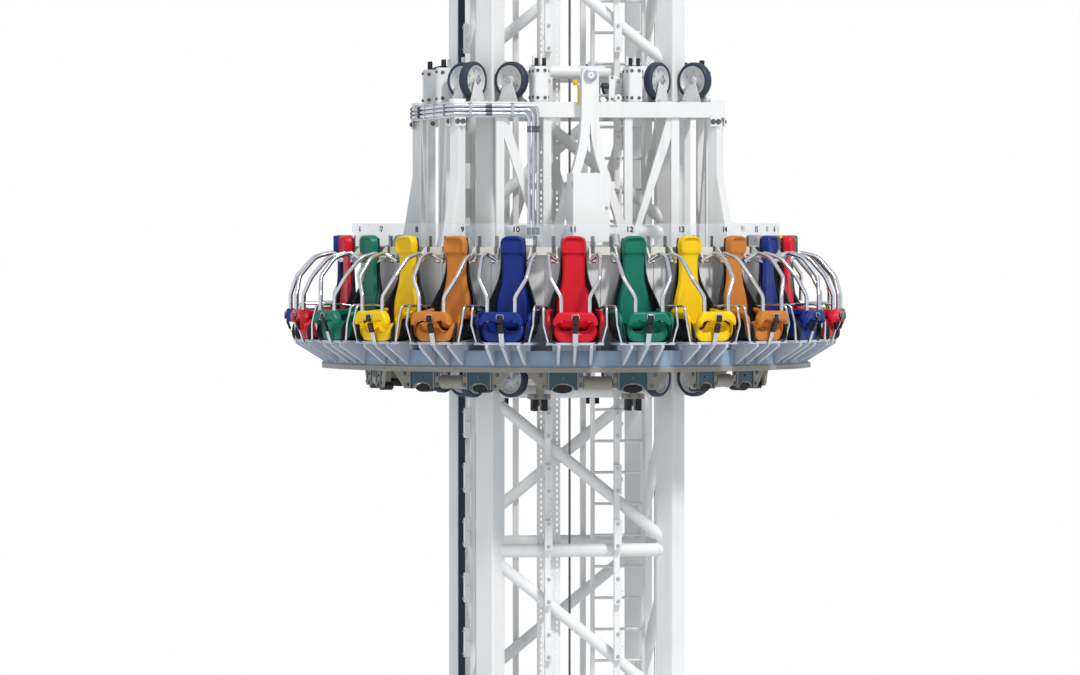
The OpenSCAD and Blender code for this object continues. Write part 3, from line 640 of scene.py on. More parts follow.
class TowerColours(bpy.types.PropertyGroup):
    mast: colour_setting("Mast", "Paint of the mast", (0.8, 0.79, 0.765))
    carriage: colour_setting("Carriage", "Paint of the carriage's frames", (0.82, 0.81, 0.785))
    rim: colour_setting("Rim", "Paint of the rim behind the seats", (0.74, 0.71, 0.6))
    # The wall's pale grey is raised almost to white, partly as painted light, so that the wall
    # between the seats, which the seats shade, looks sunlit
    wall: colour_setting("Wall", "Sheets behind the seats", (0.9, 0.89, 0.86))
    # The ring's blue-grey is partly its own paint and partly painted shade: it is darkened to the
    # look of the ring's shaded face
    ring: colour_setting("Ring", "Paint of the seat ring", (0.25, 0.335, 0.43))
    # This beige is darkened with painted shade: it stands for the steel under the ring as it lies in
    # the ring's shadow
    flange: colour_setting("Flange", "Paint of the ring's lower flange", (0.27, 0.25, 0.2))
    plate: colour_setting("Buffer plates", "Paint of the outriggers", (0.024, 0.08, 0.12))
    bracket: colour_setting("Brackets", "Paint of the seat brackets", (0.5, 0.53, 0.58))
    shell: colour_setting("Shells", "Moulded seat shells", (0.016, 0.017, 0.02))
    tread: colour_setting("Treads", "Treads of the guide wheels", (0.03, 0.04, 0.068))
    disc: colour_setting("Discs", "Paint of the wheel discs", (0.6, 0.59, 0.58))
    screen: colour_setting("Screen", "Clear band behind the seats", (0.84, 0.9, 0.95))
    conductor: colour_setting("Conductor rail", "Cover of the conductor rail", (0.012, 0.028, 0.045))
    red: colour_setting("Red pads", "First pad colour", (0.64, 0.0025, 0.015))
    green: colour_setting("Green pads", "Second pad colour", (0.0, 0.16, 0.098))
    yellow: colour_setting("Yellow pads", "Third pad colour", (0.88, 0.56, 0.0))
    orange: colour_setting("Orange pads", "Fourth pad colour", (0.58, 0.19, 0.022))
    blue: colour_setting("Blue pads", "Fifth pad colour", (0.0015, 0.02, 0.19))


class TowerSizes(bpy.types.PropertyGroup):
    arm_d: length_setting("Arm diameter", "Tube of a restraint's arm", 0.038)
    pad_t: length_setting("Pad thickness", "Thickness of the back pads", 0.058)
    shell_t: length_setting("Shell thickness", "Wall of a seat shell", 0.012)
    bolt_flats: length_setting("Bolt size", "Across the flats of an M16 bolt head", 0.024)
    digit_h: length_setting("Digit height", "Height of the seat numbers", 0.052)
    tray_pitch: length_setting("Slot pitch", "Height from one tray slot to the next", 0.054)
    rope_strands: IntProperty(name="Rope strands", description="Strands of the hoist rope",
                              default=6, min=3, max=8)
    lens: FloatProperty(name="Lens", description="Camera's focal length in millimetres",
                        default=220.0, min=20.0, max=600.0)


def build_finishes(tone):
    """All finishes, by name."""
    for name in ("carriage", "rim", "flange", "plate", "bracket", "disc"):
        FINISHES[name] = outdoor_paint(name + "_paint", getattr(tone, name))
    for name in TONES:
        FINISHES[name] = moulded("pad_skin_" + name, getattr(tone, name))
    FINISHES.update({
        "mast": outdoor_paint("mast_paint", tone.mast, rust=True),
        # The wall colour holds painted light: it is raised almost to white
        "wall": outdoor_paint("wall_paint", tone.wall, gloss=(0.35, 0.5)),
        "cabinet": outdoor_paint("cabinet_paint", scaled(tone.carriage, 1.02), gloss=(0.3, 0.4)),
        "pale": outdoor_paint("bracket_zinc_paint", scaled(tone.carriage, 0.84)),
        "yellow_plate": moulded("switch_yellow", (0.8, 0.52, 0.01)),
        "chrome": metal("polished_tube", (0.68, 0.69, 0.72), (0.15, 0.26)),
        "steel": metal("bright_steel", (0.62, 0.63, 0.65), (0.25, 0.4), brushed=0.2),
        "zinc": metal("galvanised", (0.6, 0.62, 0.64), (0.38, 0.55), spangle=0.5),
        "dark_steel": metal("dark_bolt_steel", (0.16, 0.165, 0.18), (0.35, 0.5)),
        "rope": metal("rope_wire", (0.2, 0.2, 0.21), (0.4, 0.6)),
        "shell": moulded("shell_plastic", tone.shell, (0.34, 0.5), 380.0),
        "tread": moulded("tread_polymer", tone.tread, (0.42, 0.6), 240.0),
        "rubber": moulded("gland_rubber", (0.012, 0.012, 0.014), (0.5, 0.65), 300.0),
        "conductor": moulded("conductor_plastic", tone.conductor, (0.35, 0.5), 200.0),
        "digits": moulded("digit_vinyl", (0.02, 0.02, 0.025), (0.4, 0.5)),
        "belt": webbing("belt_webbing", (0.02, 0.02, 0.022)),
        "screen": clear_plastic("clear_sheet", tone.screen),
        "ring": ring_paint("ring_paint", tone.ring, tone.flange)})


NODE_FINISHES = {
    "mast": ("mast_columns", "lattice_front", "lattice_right", "lattice_rear", "lattice_left",
             "guide_rails", "access_ladder", "rope_beams", "cable_tray"),
    "conductor": ("conductor_rail",),
    "rope": ("hoist_rope",),
    "carriage": ("top_frame", "bottom_frame", "corner_legs", "side_frames", "hangers",
                 "guide_shoes"),
    "pale": ("wheel_brackets",),
    "tread": ("wheel_tyres",),
    "disc": ("wheel_discs",),
    "ring": ("seat_ring",),
    "plate": ("outriggers",),
    "wall": ("seat_wall",),
    "rim": ("seat_rim",),
    "screen": ("number_screen",),
    "bracket": ("seat_brackets",),
    "chrome": ("armrest_hoops", "conduits"),
    "cabinet": ("control_cabinet",),
}


# Operators
class TOWER_OT_stage(bpy.types.Operator):
    """Make the camera, the lamps, the floor and the white surroundings"""
    bl_idname = "tower.stage"
    bl_label = "Stage and camera"

    def execute(self, context):
        scene = context.scene
        scene.view_settings.view_transform = "Standard"
        lens = bpy.data.cameras.new("camera")
        lens.sensor_width, lens.lens, lens.clip_end = 36.0, scene.tower_sizes.lens, 500.0
        azimuth, distance = math.radians(9.5), 63.0
        spot = Vector((-math.sin(azimuth) * distance, -math.cos(azimuth) * distance, 6.45))
        aim = Vector((-0.243 * math.cos(azimuth), 0.243 * math.sin(azimuth), 5.29))
        scene.camera = linked("camera", lens)
        scene.camera.location = spot
        scene.camera.rotation_euler = (aim - spot).to_track_quat("-Z", "Y").to_euler()
        for name, strength, angle, tilt, swing in (
                ("key_sun", 2.35, 7.0, 42.0, 26.0), ("fill_sun", 0.3, 60.0, 70.0, -50.0)):
            lamp = bpy.data.lights.new(name, "SUN")
            lamp.energy, lamp.angle = strength, math.radians(angle)
            linked(name, lamp).rotation_euler = math.radians(tilt), 0.0, math.radians(swing)
        scene.world = bpy.data.worlds.new("soft_sky")
        scene.world.use_nodes = True
        sky = Graph(scene.world.node_tree)
        sky.tree.nodes.clear()
        rays = sky.tree.nodes.new("ShaderNodeLightPath").outputs
        glossy = sky.maths("MULTIPLY", rays["Is Glossy Ray"], 0.3)
        seen = sky.maths("MAXIMUM", rays["Is Camera Ray"], glossy)
        blue = sky.add("ShaderNodeBackground", {"Color": (0.8, 0.88, 1.0, 1), "Strength": 0.56})
        white = sky.add("ShaderNodeBackground", {"Color": (1, 1, 1, 1)})
        mix = sky.add("ShaderNodeMixShader", {0: seen, 1: blue, 2: white})
        sky.add("ShaderNodeOutputWorld", {0: mix})
        floor, reach = bpy.data.meshes.new("floor"), 300.0
        floor.from_pydata([(-reach, -reach, 0), (reach, -reach, 0), (reach, reach, 0),
                           (-reach, reach, 0)], [], [(0, 1, 2, 3)])
        floor.materials.append(pale_floor())
        ground = linked("floor", floor)
        return {"FINISHED"}


class TOWER_OT_finishes(bpy.types.Operator):
    """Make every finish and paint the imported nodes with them"""
    bl_idname = "tower.finishes"
    bl_label = "Finishes"

    def execute(self, context):
        build_finishes(context.scene.tower_colours)
        for finish, names in NODE_FINISHES.items():
            for name in names:
                NODES[name].data.materials.clear()
                NODES[name].data.materials.append(FINISHES[finish])
        return {"FINISHED"}


# Seat sections: (outwards, up, half width, wall height)
SHELL_STOPS = (
    (2.112, 6.246, 0.092, 0.004), (2.112, 6.222, 0.106, 0.006), (2.112, 6.1, 0.11, 0.006),
    (2.112, 5.92, 0.112, 0.01), (2.112, 5.78, 0.158, 0.03), (2.113, 5.64, 0.224, 0.095),
    (2.116, 5.48, 0.236, 0.16), (2.136, 5.36, 0.236, 0.2), (2.19, 5.312, 0.236, 0.222),
    (2.33, 5.303, 0.236, 0.222), (2.46, 5.302, 0.235, 0.214), (2.52, 5.3, 0.23, 0.2),
    (2.556, 5.29, 0.222, 0.12), (2.574, 5.272, 0.212, 0.03))


def shell_skin():
    """The shell's inner face from the headrest to the front lip."""
    points, across = [], mirrored(0.3, 0.6, 0.8, 0.9, 0.97, 1.0)
    for i, (r, z, wide, wall) in enumerate(SHELL_STOPS):
        before, after = SHELL_STOPS[max(i - 1, 0)], SHELL_STOPS[min(i + 1, len(SHELL_STOPS) - 1)]
        way = Vector((0, after[0] - before[0], after[1] - before[1])).normalized()
        inwards = Vector((0, -way.z, way.y))
        for t in across:
            flat, rise = min(abs(t) / 0.8, 1.0), max(0.0, (abs(t) - 0.8) / 0.2)
            x = math.copysign(wide * (0.9 * flat + 0.1 * min(1.0, rise * 1.6)), t)
            points.append(Vector((x, r, z)) + inwards * (0.012 * flat ** 3 + wall * rise ** 1.3))
    n, mesh = len(across), bpy.data.meshes.new("skin")
    mesh.from_pydata(points, [], [(i + j, i + j + 1, i + n + j + 1, i + n + j)
                                  for i in range(0, len(points) - n, n) for j in range(n - 1)])
    return mesh


class TOWER_OT_shells(bpy.types.Operator):
    """Make the moulded seat shells"""
    bl_idname = "tower.shells"
    bl_label = "Seat shells"

    def execute(self, context):
        solid = evaluated(shell_skin(), "SOLIDIFY", thickness=context.scene.tower_sizes.shell_t,
                          offset=-1.0, use_even_offset=True)
        shape = Shape().mesh_copy(solid).box((-0.11, 2.11, 5.2103), (0.11, 2.3, 5.292))
        piece("seat_shells_moulded", shape.copies(ALL_SEATS), "shell", ["seat_shells"], rounds=1)
        return {"FINISHED"}


def back_pad(thick):
    """Back pad: flat behind, crowned in front, with side bolsters and a hooded headrest."""
    low, high, back = 5.402, 6.268, 2.1163
    outline = ((5.402, 0.12), (5.412, 0.15), (5.44, 0.166), (5.54, 0.171), (5.64, 0.166),
               (5.72, 0.146), (5.8, 0.118), (5.88, 0.104), (5.98, 0.103), (6.05, 0.107),
               (6.082, 0.11), (6.096, 0.112), (6.11, 0.114), (6.135, 0.117), (6.17, 0.119),
               (6.192, 0.119), (6.212, 0.116), (6.23, 0.109), (6.246, 0.097), (6.257, 0.08),
               (6.264, 0.06), (6.268, 0.038))
    rings = []
    for z, wide in outline:
        row, hood = [], ease((z - 6.086) / 0.024)
        for t in mirrored(0.25, 0.5, 0.7, 0.84, 0.93, 0.985, 1.0):
            edge = min(wide * (1 - abs(t)), min(z - low, high - z) + 0.004)
            crown = thick * (0.55 + 0.45 * ease(edge / 0.02))
            side = 0.02 * ease((5.86 - z) / 0.12) * ease((abs(t) - 0.45) / 0.3)
            border = 0.029 * hood * (1 - ease((edge - 0.024) / 0.016))
            lift = (crown + side * ease(edge / 0.03) + 0.018 * hood * ease(edge / 0.01)
                    + border * ease(edge / 0.008))
            row.append((wide * t, back + lift, z))
        rings.append(row + [(wide * t * 0.97, back, z) for t in mirrored(0.45, 0.9)[::-1]])
    return Shape().loft(rings)


def seat_pad():
    """Seat pad: bolsters at both sides, thigh channels, a raised middle and a rolled front."""
    start, end, base, rings = 2.188, 2.584, 5.3345, []
    for t in (i / 16 for i in range(17)):
        r, wide = start + t * (end - start), 0.198 + 0.006 * ease(t * 2)
        low = base - 0.055 * ease((r - 2.548) / 0.02)
        roll, row = ease(min(r - start, end - r) / 0.03), []
        for u in mirrored(0.09, 0.18, 0.3, 0.45, 0.62, 0.74, 0.84, 0.93, 0.985, 1.0):
            bolster = ease((abs(u) - 0.6) / 0.22) * (0.088 - 0.02 * ease((t - 0.75) / 0.25))
            pommel = 0.046 * ease((t - 0.55) / 0.3) * (1 - ease(abs(u) / 0.24))
            dip = (-0.01 * ease((t - 0.4) / 0.3) * ease((abs(u) - 0.2) / 0.15)
                   * (1 - ease((abs(u) - 0.55) / 0.1)))
            edge = ease(wide * (1 - abs(u)) / 0.022)
            height = (0.055 + bolster + pommel + dip) * (0.35 + 0.65 * roll) * (0.5 + 0.5 * edge)
            row.append((wide * u, r, base + height))
        rings.append(row + [(wide * u * 0.97, r, low) for u in mirrored(0.45, 0.9)[::-1]])
    return Shape().loft(rings)


def wing_roll(side):
    """The padded roll that wraps a wing's top and front edge, flat against the armrest hoop."""
    path = rounded_path([(0, 2.196, 5.592), (0, 2.262, 5.548), (0, 2.528, 5.528),
                         (0, 2.532, 5.276)], (0.05, 0.062), math.radians(15))
    rings = []
    for i, p in enumerate(path):
        ahead = (path[min(i + 1, len(path) - 1)] - path[max(i - 1, 0)]).normalized()
        normal = Vector((0, -ahead.z, ahead.y))
        down, back = ease((5.5 - p.z) / 0.2), ease((p.y - 2.19) / 0.08)
        centre = Vector(((0.205 + 0.043 * back - 0.036 * down) * side, 0, 0)) + p
        deep, wide = 0.022 - 0.007 * down, (0.012 + 0.022 * back) * (1 - 0.15 * down)
        rings.append([centre + Vector((deep * side * squared(math.sin(a), 0.7), 0, 0))
                      + normal * wide * squared(math.cos(a), 0.7)
                      for a in angles(12, math.pi / 12)])
    return Shape().loft(rings)


class TOWER_OT_cushions(bpy.types.Operator):
    """Make the back pads with their headrests and the seat pads, in five colours"""
    bl_idname = "tower.cushions"
    bl_label = "Cushions"

    def execute(self, context):
        back, pan, rolls = back_pad(context.scene.tower_sizes.pad_t), seat_pad(), wing_roll(-1)
        right = wing_roll(1)
        rolls.add(right.points, right.faces)
        for tone in TONES:
            places = [place for n, place in enumerate(ALL_SEATS, 1) if seat_tone(n) == tone]
            for part, shape, stands in (("back_pads", back, ["cushions_" + tone]),
                                        ("seat_pads", pan, []), ("wing_rolls", rolls, [])):
                piece(f"{part}_{tone}", shape.copies(places), tone, stands, rounds=1)
        return {"FINISHED"}


def arm_path(side):
    """Centreline of a restraint's arm, from its hub to inside the lap pad."""
    r, z = PIVOT
    pad = SEAT_OUT + 0.04
    return rounded_path([
        (0.146 * side, r + 0.004, z - 0.008), (0.236 * side, r + 0.085, z + 0.066),
        (0.238 * side, r + 0.258, z + 0.022), (0.226 * side, pad - 0.058, z - 0.162),
        (0.13 * side, pad, z - 0.334), (0.13 * side, pad, PAN_TOP + 0.15)],
        (0.052, 0.16, 0.12, 0.1), math.radians(8))


def lap_pad():
    """Lap pad: sloping ends, scalloped over the thighs, crowned in front."""
    half, rings = 0.209, []
    for x in (0.019 * i - half for i in range(23)):
        near = half - abs(x)
        top = 5.572 - 0.075 * ease((abs(x) - 0.15) / 0.065)
        low = 5.49 - 0.016 * ease(abs(abs(x) - 0.1) / 0.05) \
            - 0.034 * ease((abs(x) - 0.145) / 0.05)
        deep = 0.045 * (0.35 + 0.65 * ease((near + 0.004) / 0.022))
        high = (top - low) / 2 * (0.75 + 0.25 * ease((near + 0.004) / 0.02))
        rings.append([(x, 2.62 + deep * squared(math.cos(a), 0.55),
                       (top + low) / 2 + high * squared(math.sin(a), 0.55))
                      for a in angles(16, math.pi / 16)])
    return Shape().loft(rings)


class TOWER_OT_restraints(bpy.types.Operator):
    """Make each seat's chrome arms, hubs and lap pad, which ride together on one body"""
    bl_idname = "tower.restraints"
    bl_label = "Restraints"

    def execute(self, context):
        arms, pad, (r, z) = Shape(), lap_pad(), PIVOT
        for side in (-1, 1):
            hub = at(0.165 * side, r, z) @ Matrix.Rotation(math.radians(90 * side), 4, "Y")
            arms.sweep(arm_path(side), context.scene.tower_sizes.arm_d / 2, 16)
            arms.button(0.03, 0.0, 0.038, 0.026, 0.042, hub, 28, 0.0125)
            arms.rod((0.139 * side, r, z), (0.184 * side, r, z), 0.012, 20)
            arms.box((0.14 * side, r - 0.02, z - 0.022), (0.164 * side, r + 0.022, z + 0.02))
        for n, place in enumerate(ALL_SEATS, 1):
            body = f"lap_bar_{n:02d}"
            piece(f"restraint_arms_{n:02d}", arms.copies([place]), "chrome",
                  [f"restraint_{n:02d}"], body=body)
            piece(f"lap_pad_{n:02d}", pad.copies([place]), seat_tone(n), body=body, rounds=1)
        return {"FINISHED"}


class TOWER_OT_belts(bpy.types.Operator):
    """Make the crotch belts: a steel tab and a buckle on each seat, a latch on each lap pad"""
    bl_idname = "tower.belts"
    bl_label = "Belts"

    def execute(self, context):
        # Plane of the belt, which leans outwards up to the lap pad
        belt = (at(0, SEAT_OUT + 0.004, 5.262) @ Matrix.Rotation(math.radians(71), 4, "X")
                @ Matrix.Diagonal((1, 1, -1, 1)))
        tab = Shape().prism(both_sides((0.024, -0.004), (0.024, 0.128), (0.02, 0.14)), 0.0,
                            0.004, belt)
        for x in (-0.011, 0.011):
            tab.lathe([(AXIS, 0.0042), (0.006, 0.0042), (0.005, 0.007), (AXIS, 0.007)],
                      belt @ at(x, 0.012, 0), 12)
        strap = Shape().prism(both_sides((0.022, 0.0), (0.022, 0.15)), -0.003, -0.0003, belt)
        buckle = Shape().prism(both_sides((0.021, 0.12), (0.0265, 0.13), (0.0265, 0.206),
                                          (0.022, 0.212)), -0.009, 0.014, belt)
        buckle.box((-0.014, 0.172, 0.014), (0.014, 0.196, 0.017), belt)
        latch = Shape().prism(both_sides((0.027, 5.47), (0.027, 5.52), (0.021, 5.534)), 0,
                              0.016, upright(2.6655))
        loop = Shape().sweep(rounded_path([(-0.033, 2.674, 5.505), (-0.033, 2.674, 5.544),
                                           (0.033, 2.674, 5.544), (0.033, 2.674, 5.505)],
                                          (0.01, 0.01)), 0.0035, 10)
        piece("belt_straps", strap.copies(ALL_SEATS), "belt", ["seat_belts"])
        piece("belt_tabs", tab.copies(ALL_SEATS), "steel", bevel=0.0008)
        piece("belt_buckles", buckle.copies(ALL_SEATS), "shell", bevel=0.003)
        for n, place in enumerate(ALL_SEATS, 1):
            body = f"lap_bar_{n:02d}"
            piece(f"latch_{n:02d}", latch.copies([place]), "shell",
                  body=body, bevel=0.003)
            piece(f"latch_loop_{n:02d}", loop.copies([place]), "chrome", body=body)
        return {"FINISHED"}


class TOWER_OT_numbers(bpy.types.Operator):
    """Put a plain number over each seat on the clear band"""
    bl_idname = "tower.numbers"
    bl_label = "Seat numbers"

    def execute(self, context):
        shape = Shape()
        for n, place in enumerate(ALL_SEATS, 1):
            text = bpy.data.curves.new("digits", "FONT")
            text.body, text.align_x = str(n), "CENTER"
            text.size, text.extrude = context.scene.tower_sizes.digit_h * 1.38, 0.0012
            text.resolution_u, text.offset = 3, 0.0022
            shape.mesh_copy(evaluated(text), place @ upright(SCREEN_OUT + 0.0018, 6.302, -1))
        piece("seat_numbers", shape, "digits", merge=1e-5)
        return {"FINISHED"}


ROLLED = (("top_frame", "carriage", 0.007), ("bottom_frame", "carriage", 0.007),
          ("corner_legs", "carriage", 0.006), ("side_frames", "carriage", 0.006),
          ("hangers", "carriage", 0.005), ("guide_shoes", "carriage", 0.004),
          ("seat_ring", "ring", 0.004), ("seat_rim", "rim", 0.004),
          ("seat_brackets", "bracket", 0.002), ("wheel_brackets", "pale", 0.0025),
          ("control_cabinet", "cabinet", 0.005))


class TOWER_OT_frames(bpy.types.Operator):
    """Give the carriage's and the mast's welded frames their rolled edges"""
    bl_idname = "tower.frames"
    bl_label = "Frames with rolled edges"

    def execute(self, context):
        for node, finish, edge in ROLLED:
            softened(node, finish, edge)
        softened("guide_rails", "mast", 0.004, BODY_MAST)
        return {"FINISHED"}


class TOWER_OT_outriggers(bpy.types.Operator):
    """Make the beams to the seat ring, the notched buffer plates, gussets and drums"""
    bl_idname = "tower.outriggers"
    bl_label = "Outriggers"

    def execute(self, context):
        low, top = (corner.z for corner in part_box("outriggers"))
        near, start, ring = RING_IN - 0.055, FRAME_OUT + GAP, RING_IN - GAP
        under, corner = RING_LOW + 0.13, math.tan(SEAT_STEP / 2) * ring
        bend = ring - (0.475 - corner) * math.tan(SEAT_STEP)
        plates, gussets, drums, buffers, bolts = Shape(), Shape(), Shape(), Shape(), Bolts()
        barrel = both_ends((0.001, 0.139), (0.05, 0.139), (0.065, 0.131), (0.065, 0.1),
                           (0.061, 0.092))
        for eighth in range(8):
            place = turn(math.radians(45 * eighth))
            front = place @ upright(-near)
            drums.lathe(barrel, place @ at(0, -1.785, low + 0.068) @ ALONG_X, 36)
            for s in (-1, 1):
                inner, middle, outer = s * 0.185, s * 0.33, s * 0.475
                starts = [-start] * 2
                if eighth % 2:
                    starts = [abs(x) - start * math.sqrt(2) for x in (inner, outer)]
                plates.prism([(inner, starts[0]), (outer, starts[1]), (outer, -bend),
                              (s * corner, -ring), (inner, -ring)], under, top, place)
                arc = [(middle - s * 0.104 * math.cos(a), low + 0.06 * math.sin(a))
                       for a in (math.pi * i / 14 for i in range(15))]
                plates.prism([(inner, low)] + arc + [(outer, low), (outer, under + 0.002),
                                                     (inner, under + 0.002)], 0, 0.03, front)
                gussets.sweep([(x, -near - GAP, z) for x, z in arc], 0.006, 8, place)
                for x in (inner + s * 0.007, outer - s * 0.007):
                    gussets.box((x - 0.007, -near - 0.009, low),
                                (x + 0.007, -near - GAP, RING_LOW - 0.008), place)
                gussets.prism([(s * 0.4755, RING_LOW - 0.006), (s * 0.675, RING_LOW - 0.006),
                               (s * 0.5417, low), (s * 0.4755, low)], 0.003, 0.027, front)
                gussets.box((s * 0.14, -near + 0.002, low + 0.02),
                            (s * 0.1845, -near + 0.02, under), place)
                gussets.box((middle - 0.045, -1.83, low + 0.048),
                            (middle + 0.045, -1.735, under + 0.02), place)
                buffers.prism([(middle + 0.09 * math.cos(a), low + 0.01 + 0.04 * math.sin(a))
                               for a in angles(28)], 0.012, 0.13, front)
                bolts.put((middle, -near, low + 0.11), size=0.8, place=place)
                for x, z in ((0.163, low + 0.045), (0.163, RING_LOW - 0.04),
                             (0.505, low + 0.035), (0.535, RING_LOW - 0.035)):
                    bolts.put((s * x, -near + 0.003, z), place=place)
        piece("outrigger_plates", plates, "plate", ["outriggers"], bevel=0.0025)
        # The gussets and drums take the beige that is darkened with painted shade
        piece("outrigger_gussets", gussets, "flange", bevel=0.0025)
        piece("buffer_drums", drums, "flange")
        piece("buffers", buffers, "rubber", bevel=0.006)
        bolts.make("buffer_bolts", "dark_steel")
        return {"FINISHED"}


class TOWER_OT_wheels(bpy.types.Operator):
    """Make the guide wheels: polymer treads on turned discs, with hubs and bolts"""
    bl_idname = "tower.wheels"
    bl_label = "Guide wheels"

    def execute(self, context):
        tread = both_ends((0.1415, 0.042), (0.16, 0.042), (0.1655, 0.0405), (0.1725, 0.031),
                          (0.175, 0.026), (0.175, 0.004), (0.173, 0.003))
        disc = both_ends((0.0202, 0.04), (0.034, 0.04), (0.038, 0.036), (0.042, 0.016),
                         (0.058, 0.012), (0.112, 0.012), (0.12, 0.017), (0.127, 0.034),
                         (0.131, 0.038), (0.1405, 0.038))
        wheels = [place @ FORWARDS for place in wheel_places(TOP_AXLE) + wheel_places(LOW_AXLE)]
        caps, feet, bolts, nuts = Shape(), Shape(), Bolts(), Bolts()
        for s in (-1, 1):
            end = Matrix.Diagonal((1, 1, s, 1))
            caps.button(0.022, 0.0702, 0.0735, 0.019, 0.0755, end)
            caps.ring(0.0198, 0.034, 0.0582, 0.0615, end)
            for place in wheels:
                bolts.put((0, 0, s * 0.0755), (0, 0, s), 1.0, place)
                for a in angles(6, math.radians(30)):
                    bolts.put((0.086 * math.cos(a), 0.086 * math.sin(a), s * 0.012), (0, 0, s),
                              0.6, place)
        piece("wheel_treads", Shape().lathe(tread, steps=56).copies(wheels), "tread",
              ["wheel_tyres"])
        piece("wheel_discs_turned", Shape().lathe(disc, steps=56).copies(wheels), "disc",
              ["wheel_discs"])
        piece("axle_caps", caps.copies(wheels), "steel")
        bolts.make("wheel_bolts", "zinc")
        for z, up in ((TOP_AXLE - 0.2047, 1), (LOW_AXLE + 0.2047, -1)):
            for place, s in product(wheel_places(z), (-1, 1)):
                feet.box((-0.098, s * 0.0585, 0), (0.098, s * 0.1, up * 0.012), place)
                for x in (-0.07, 0.07):
                    nuts.put((x, s * 0.08, up * 0.012), (0, 0, up), 0.9, place)
        piece("bracket_feet", feet, "pale", bevel=0.002)
        nuts.make("bracket_foot_bolts", "steel")
        return {"FINISHED"}


class TOWER_OT_shoes(bpy.types.Operator):
    """Make the guide shoes' cover plates, adjusting studs and bolts"""
    bl_idname = "tower.shoes"
    bl_label = "Guide shoe fittings"

    def execute(self, context):
        front, low, top = -FRAME_OUT, FRAME_TOP, FRAME_TOP + 0.335
        covers, nuts, caps, bolts = Shape(), Shape(), Shape(), Bolts()
        for face, (a, b) in product(FACES, ((-0.506, -0.386), (0.386, 0.506))):
            covers.box((a + 0.008, front - 0.006, low + 0.01),
                       (b - 0.008, front - GAP, top - 0.008), face)
            for edge, way in ((a, -1), (b, 1)):
                covers.box((edge + way * GAP, front + 0.012, low + 0.01),
                           (edge + way * 0.007, front + 0.285, top - 0.012), face)
                for y, z in product((front + 0.04, front + 0.255), (low + 0.045, top - 0.045)):
                    bolts.put((edge + way * 0.007, y, z), (way, 0, 0), 0.9, face)
            for x, z in product((a + 0.026, b - 0.026), (low + 0.04, top - 0.04)):
                bolts.put((x, front - 0.006, z), size=0.8, place=face)
            for x in (a + 0.024, b - 0.024):
                caps.button(0.019, 0.0002, 0.07, 0.015, 0.078, face @ at(x, front + 0.06, top), 20)
                nuts.ring(0.0123, 0.021, 0.0002, 0.018, face @ at(x, -1.0597, top), 6)
        piece("shoe_covers", covers, "carriage", bevel=0.0015)
        piece("shoe_lock_nuts", nuts, "steel", bevel=0.001)
        piece("shoe_caps", caps, "rubber")
        bolts.make("shoe_bolts", "dark_steel")
        return {"FINISHED"}


class TOWER_OT_guide_blocks(bpy.types.Operator):
    """Make the guide blocks that hang from the bottom frame beside the rails"""
    bl_idname = "tower.guide_blocks"
    bl_label = "Lower guide blocks"

    def execute(self, context):
        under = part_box("bottom_frame")[0].z - 0.0002
        posts, blocks, bolts = Shape(), Shape(), Bolts()
        for face, across in product(FRONT_AND_REAR, (-0.446, 0.446)):
            place = face @ at(across, 0, under)
            for half, front, back, low, high in ((0.06, -1.29, -1.165, -0.012, 0.0),
                                                 (0.03, -1.27, -1.185, -0.345, -0.0125),
                                                 (0.095, -1.262, -1.075, -0.395, -0.3455),
                                                 (0.013, -1.235, -1.1, -0.46, -0.3955)):
                posts.box((-half, front, low), (half, back, high), place)
            for s in (-1, 1):
                blocks.box((s * 0.0235, -1.25, -0.505), (s * 0.07, -1.09, -0.3955), place)
                bolts.put((s * 0.045, -1.262, -0.37), size=0.9, place=place)
            bolts.put((0, -1.235, -0.432), size=0.8, place=place)
        # The posts take the beige that is darkened with painted shade
        piece("guide_block_posts", posts, "flange", bevel=0.003)
        piece("guide_blocks", blocks, "rubber", bevel=0.004)
        bolts.make("guide_block_bolts", "dark_steel")
        return {"FINISHED"}


class TOWER_OT_hanger_fittings(bpy.types.Operator):
    """Make the hangers' pin washers and nuts, the corner straps and the limit switch"""
    bl_idname = "tower.hanger_fittings"
    bl_label = "Hanger and corner fittings"

    def execute(self, context):
        pin_z, pin, hanger_out = FRAME_TOP + 0.25, 0.0312, 1.4106
        nuts, straps, switch, bolts = Shape(), Shape(), Shape(), Bolts()
        for face in FRONT_AND_REAR:
            aim = face @ at(0, -hanger_out, pin_z) @ FORWARDS
            nuts.button(0.064, 0.0, 0.008, 0.06, 0.011, aim, 40, pin)
            nuts.button(0.05, 0.0113, 0.034, 0.046, 0.037, aim, 6, pin)
            nuts.lathe([(AXIS, 0.04), (0.012, 0.04), (0.01, 0.043), (AXIS, 0.043)], aim, 16)
        for face, s in product(FACES, (-1, 1)):
            place = face @ at(0, -FRAME_OUT - GAP, 7.29)
            straps.box((s * 1.16, -0.008, 0), (s * 1.262, 0, 0.11), place)
            for x in (1.186, 1.236):
                bolts.put((s * x, -0.008, 0.045), place=place)
        piece("hanger_nuts", nuts, "zinc", bevel=0.001)
        piece("corner_straps", straps, "carriage", bevel=0.002)
        bolts.make("corner_strap_bolts", "dark_steel", flats=0.03)
        switch.box((-0.15, -1.345, pin_z - 0.095), (-0.105, -1.31, pin_z - 0.045))
        switch.box((-0.112, -1.35, FRAME_TOP - 0.03), (-0.098, -1.338, pin_z - 0.09))
        switch.lathe([(AXIS, 0.0), (0.014, 0.0), (0.016, 0.004), (0.016, 0.012), (AXIS, 0.012)],
                     at(-0.128, -1.3453, pin_z - 0.064) @ FORWARDS, 20)
        piece("limit_switch", switch, "yellow_plate", bevel=0.002)
        return {"FINISHED"}


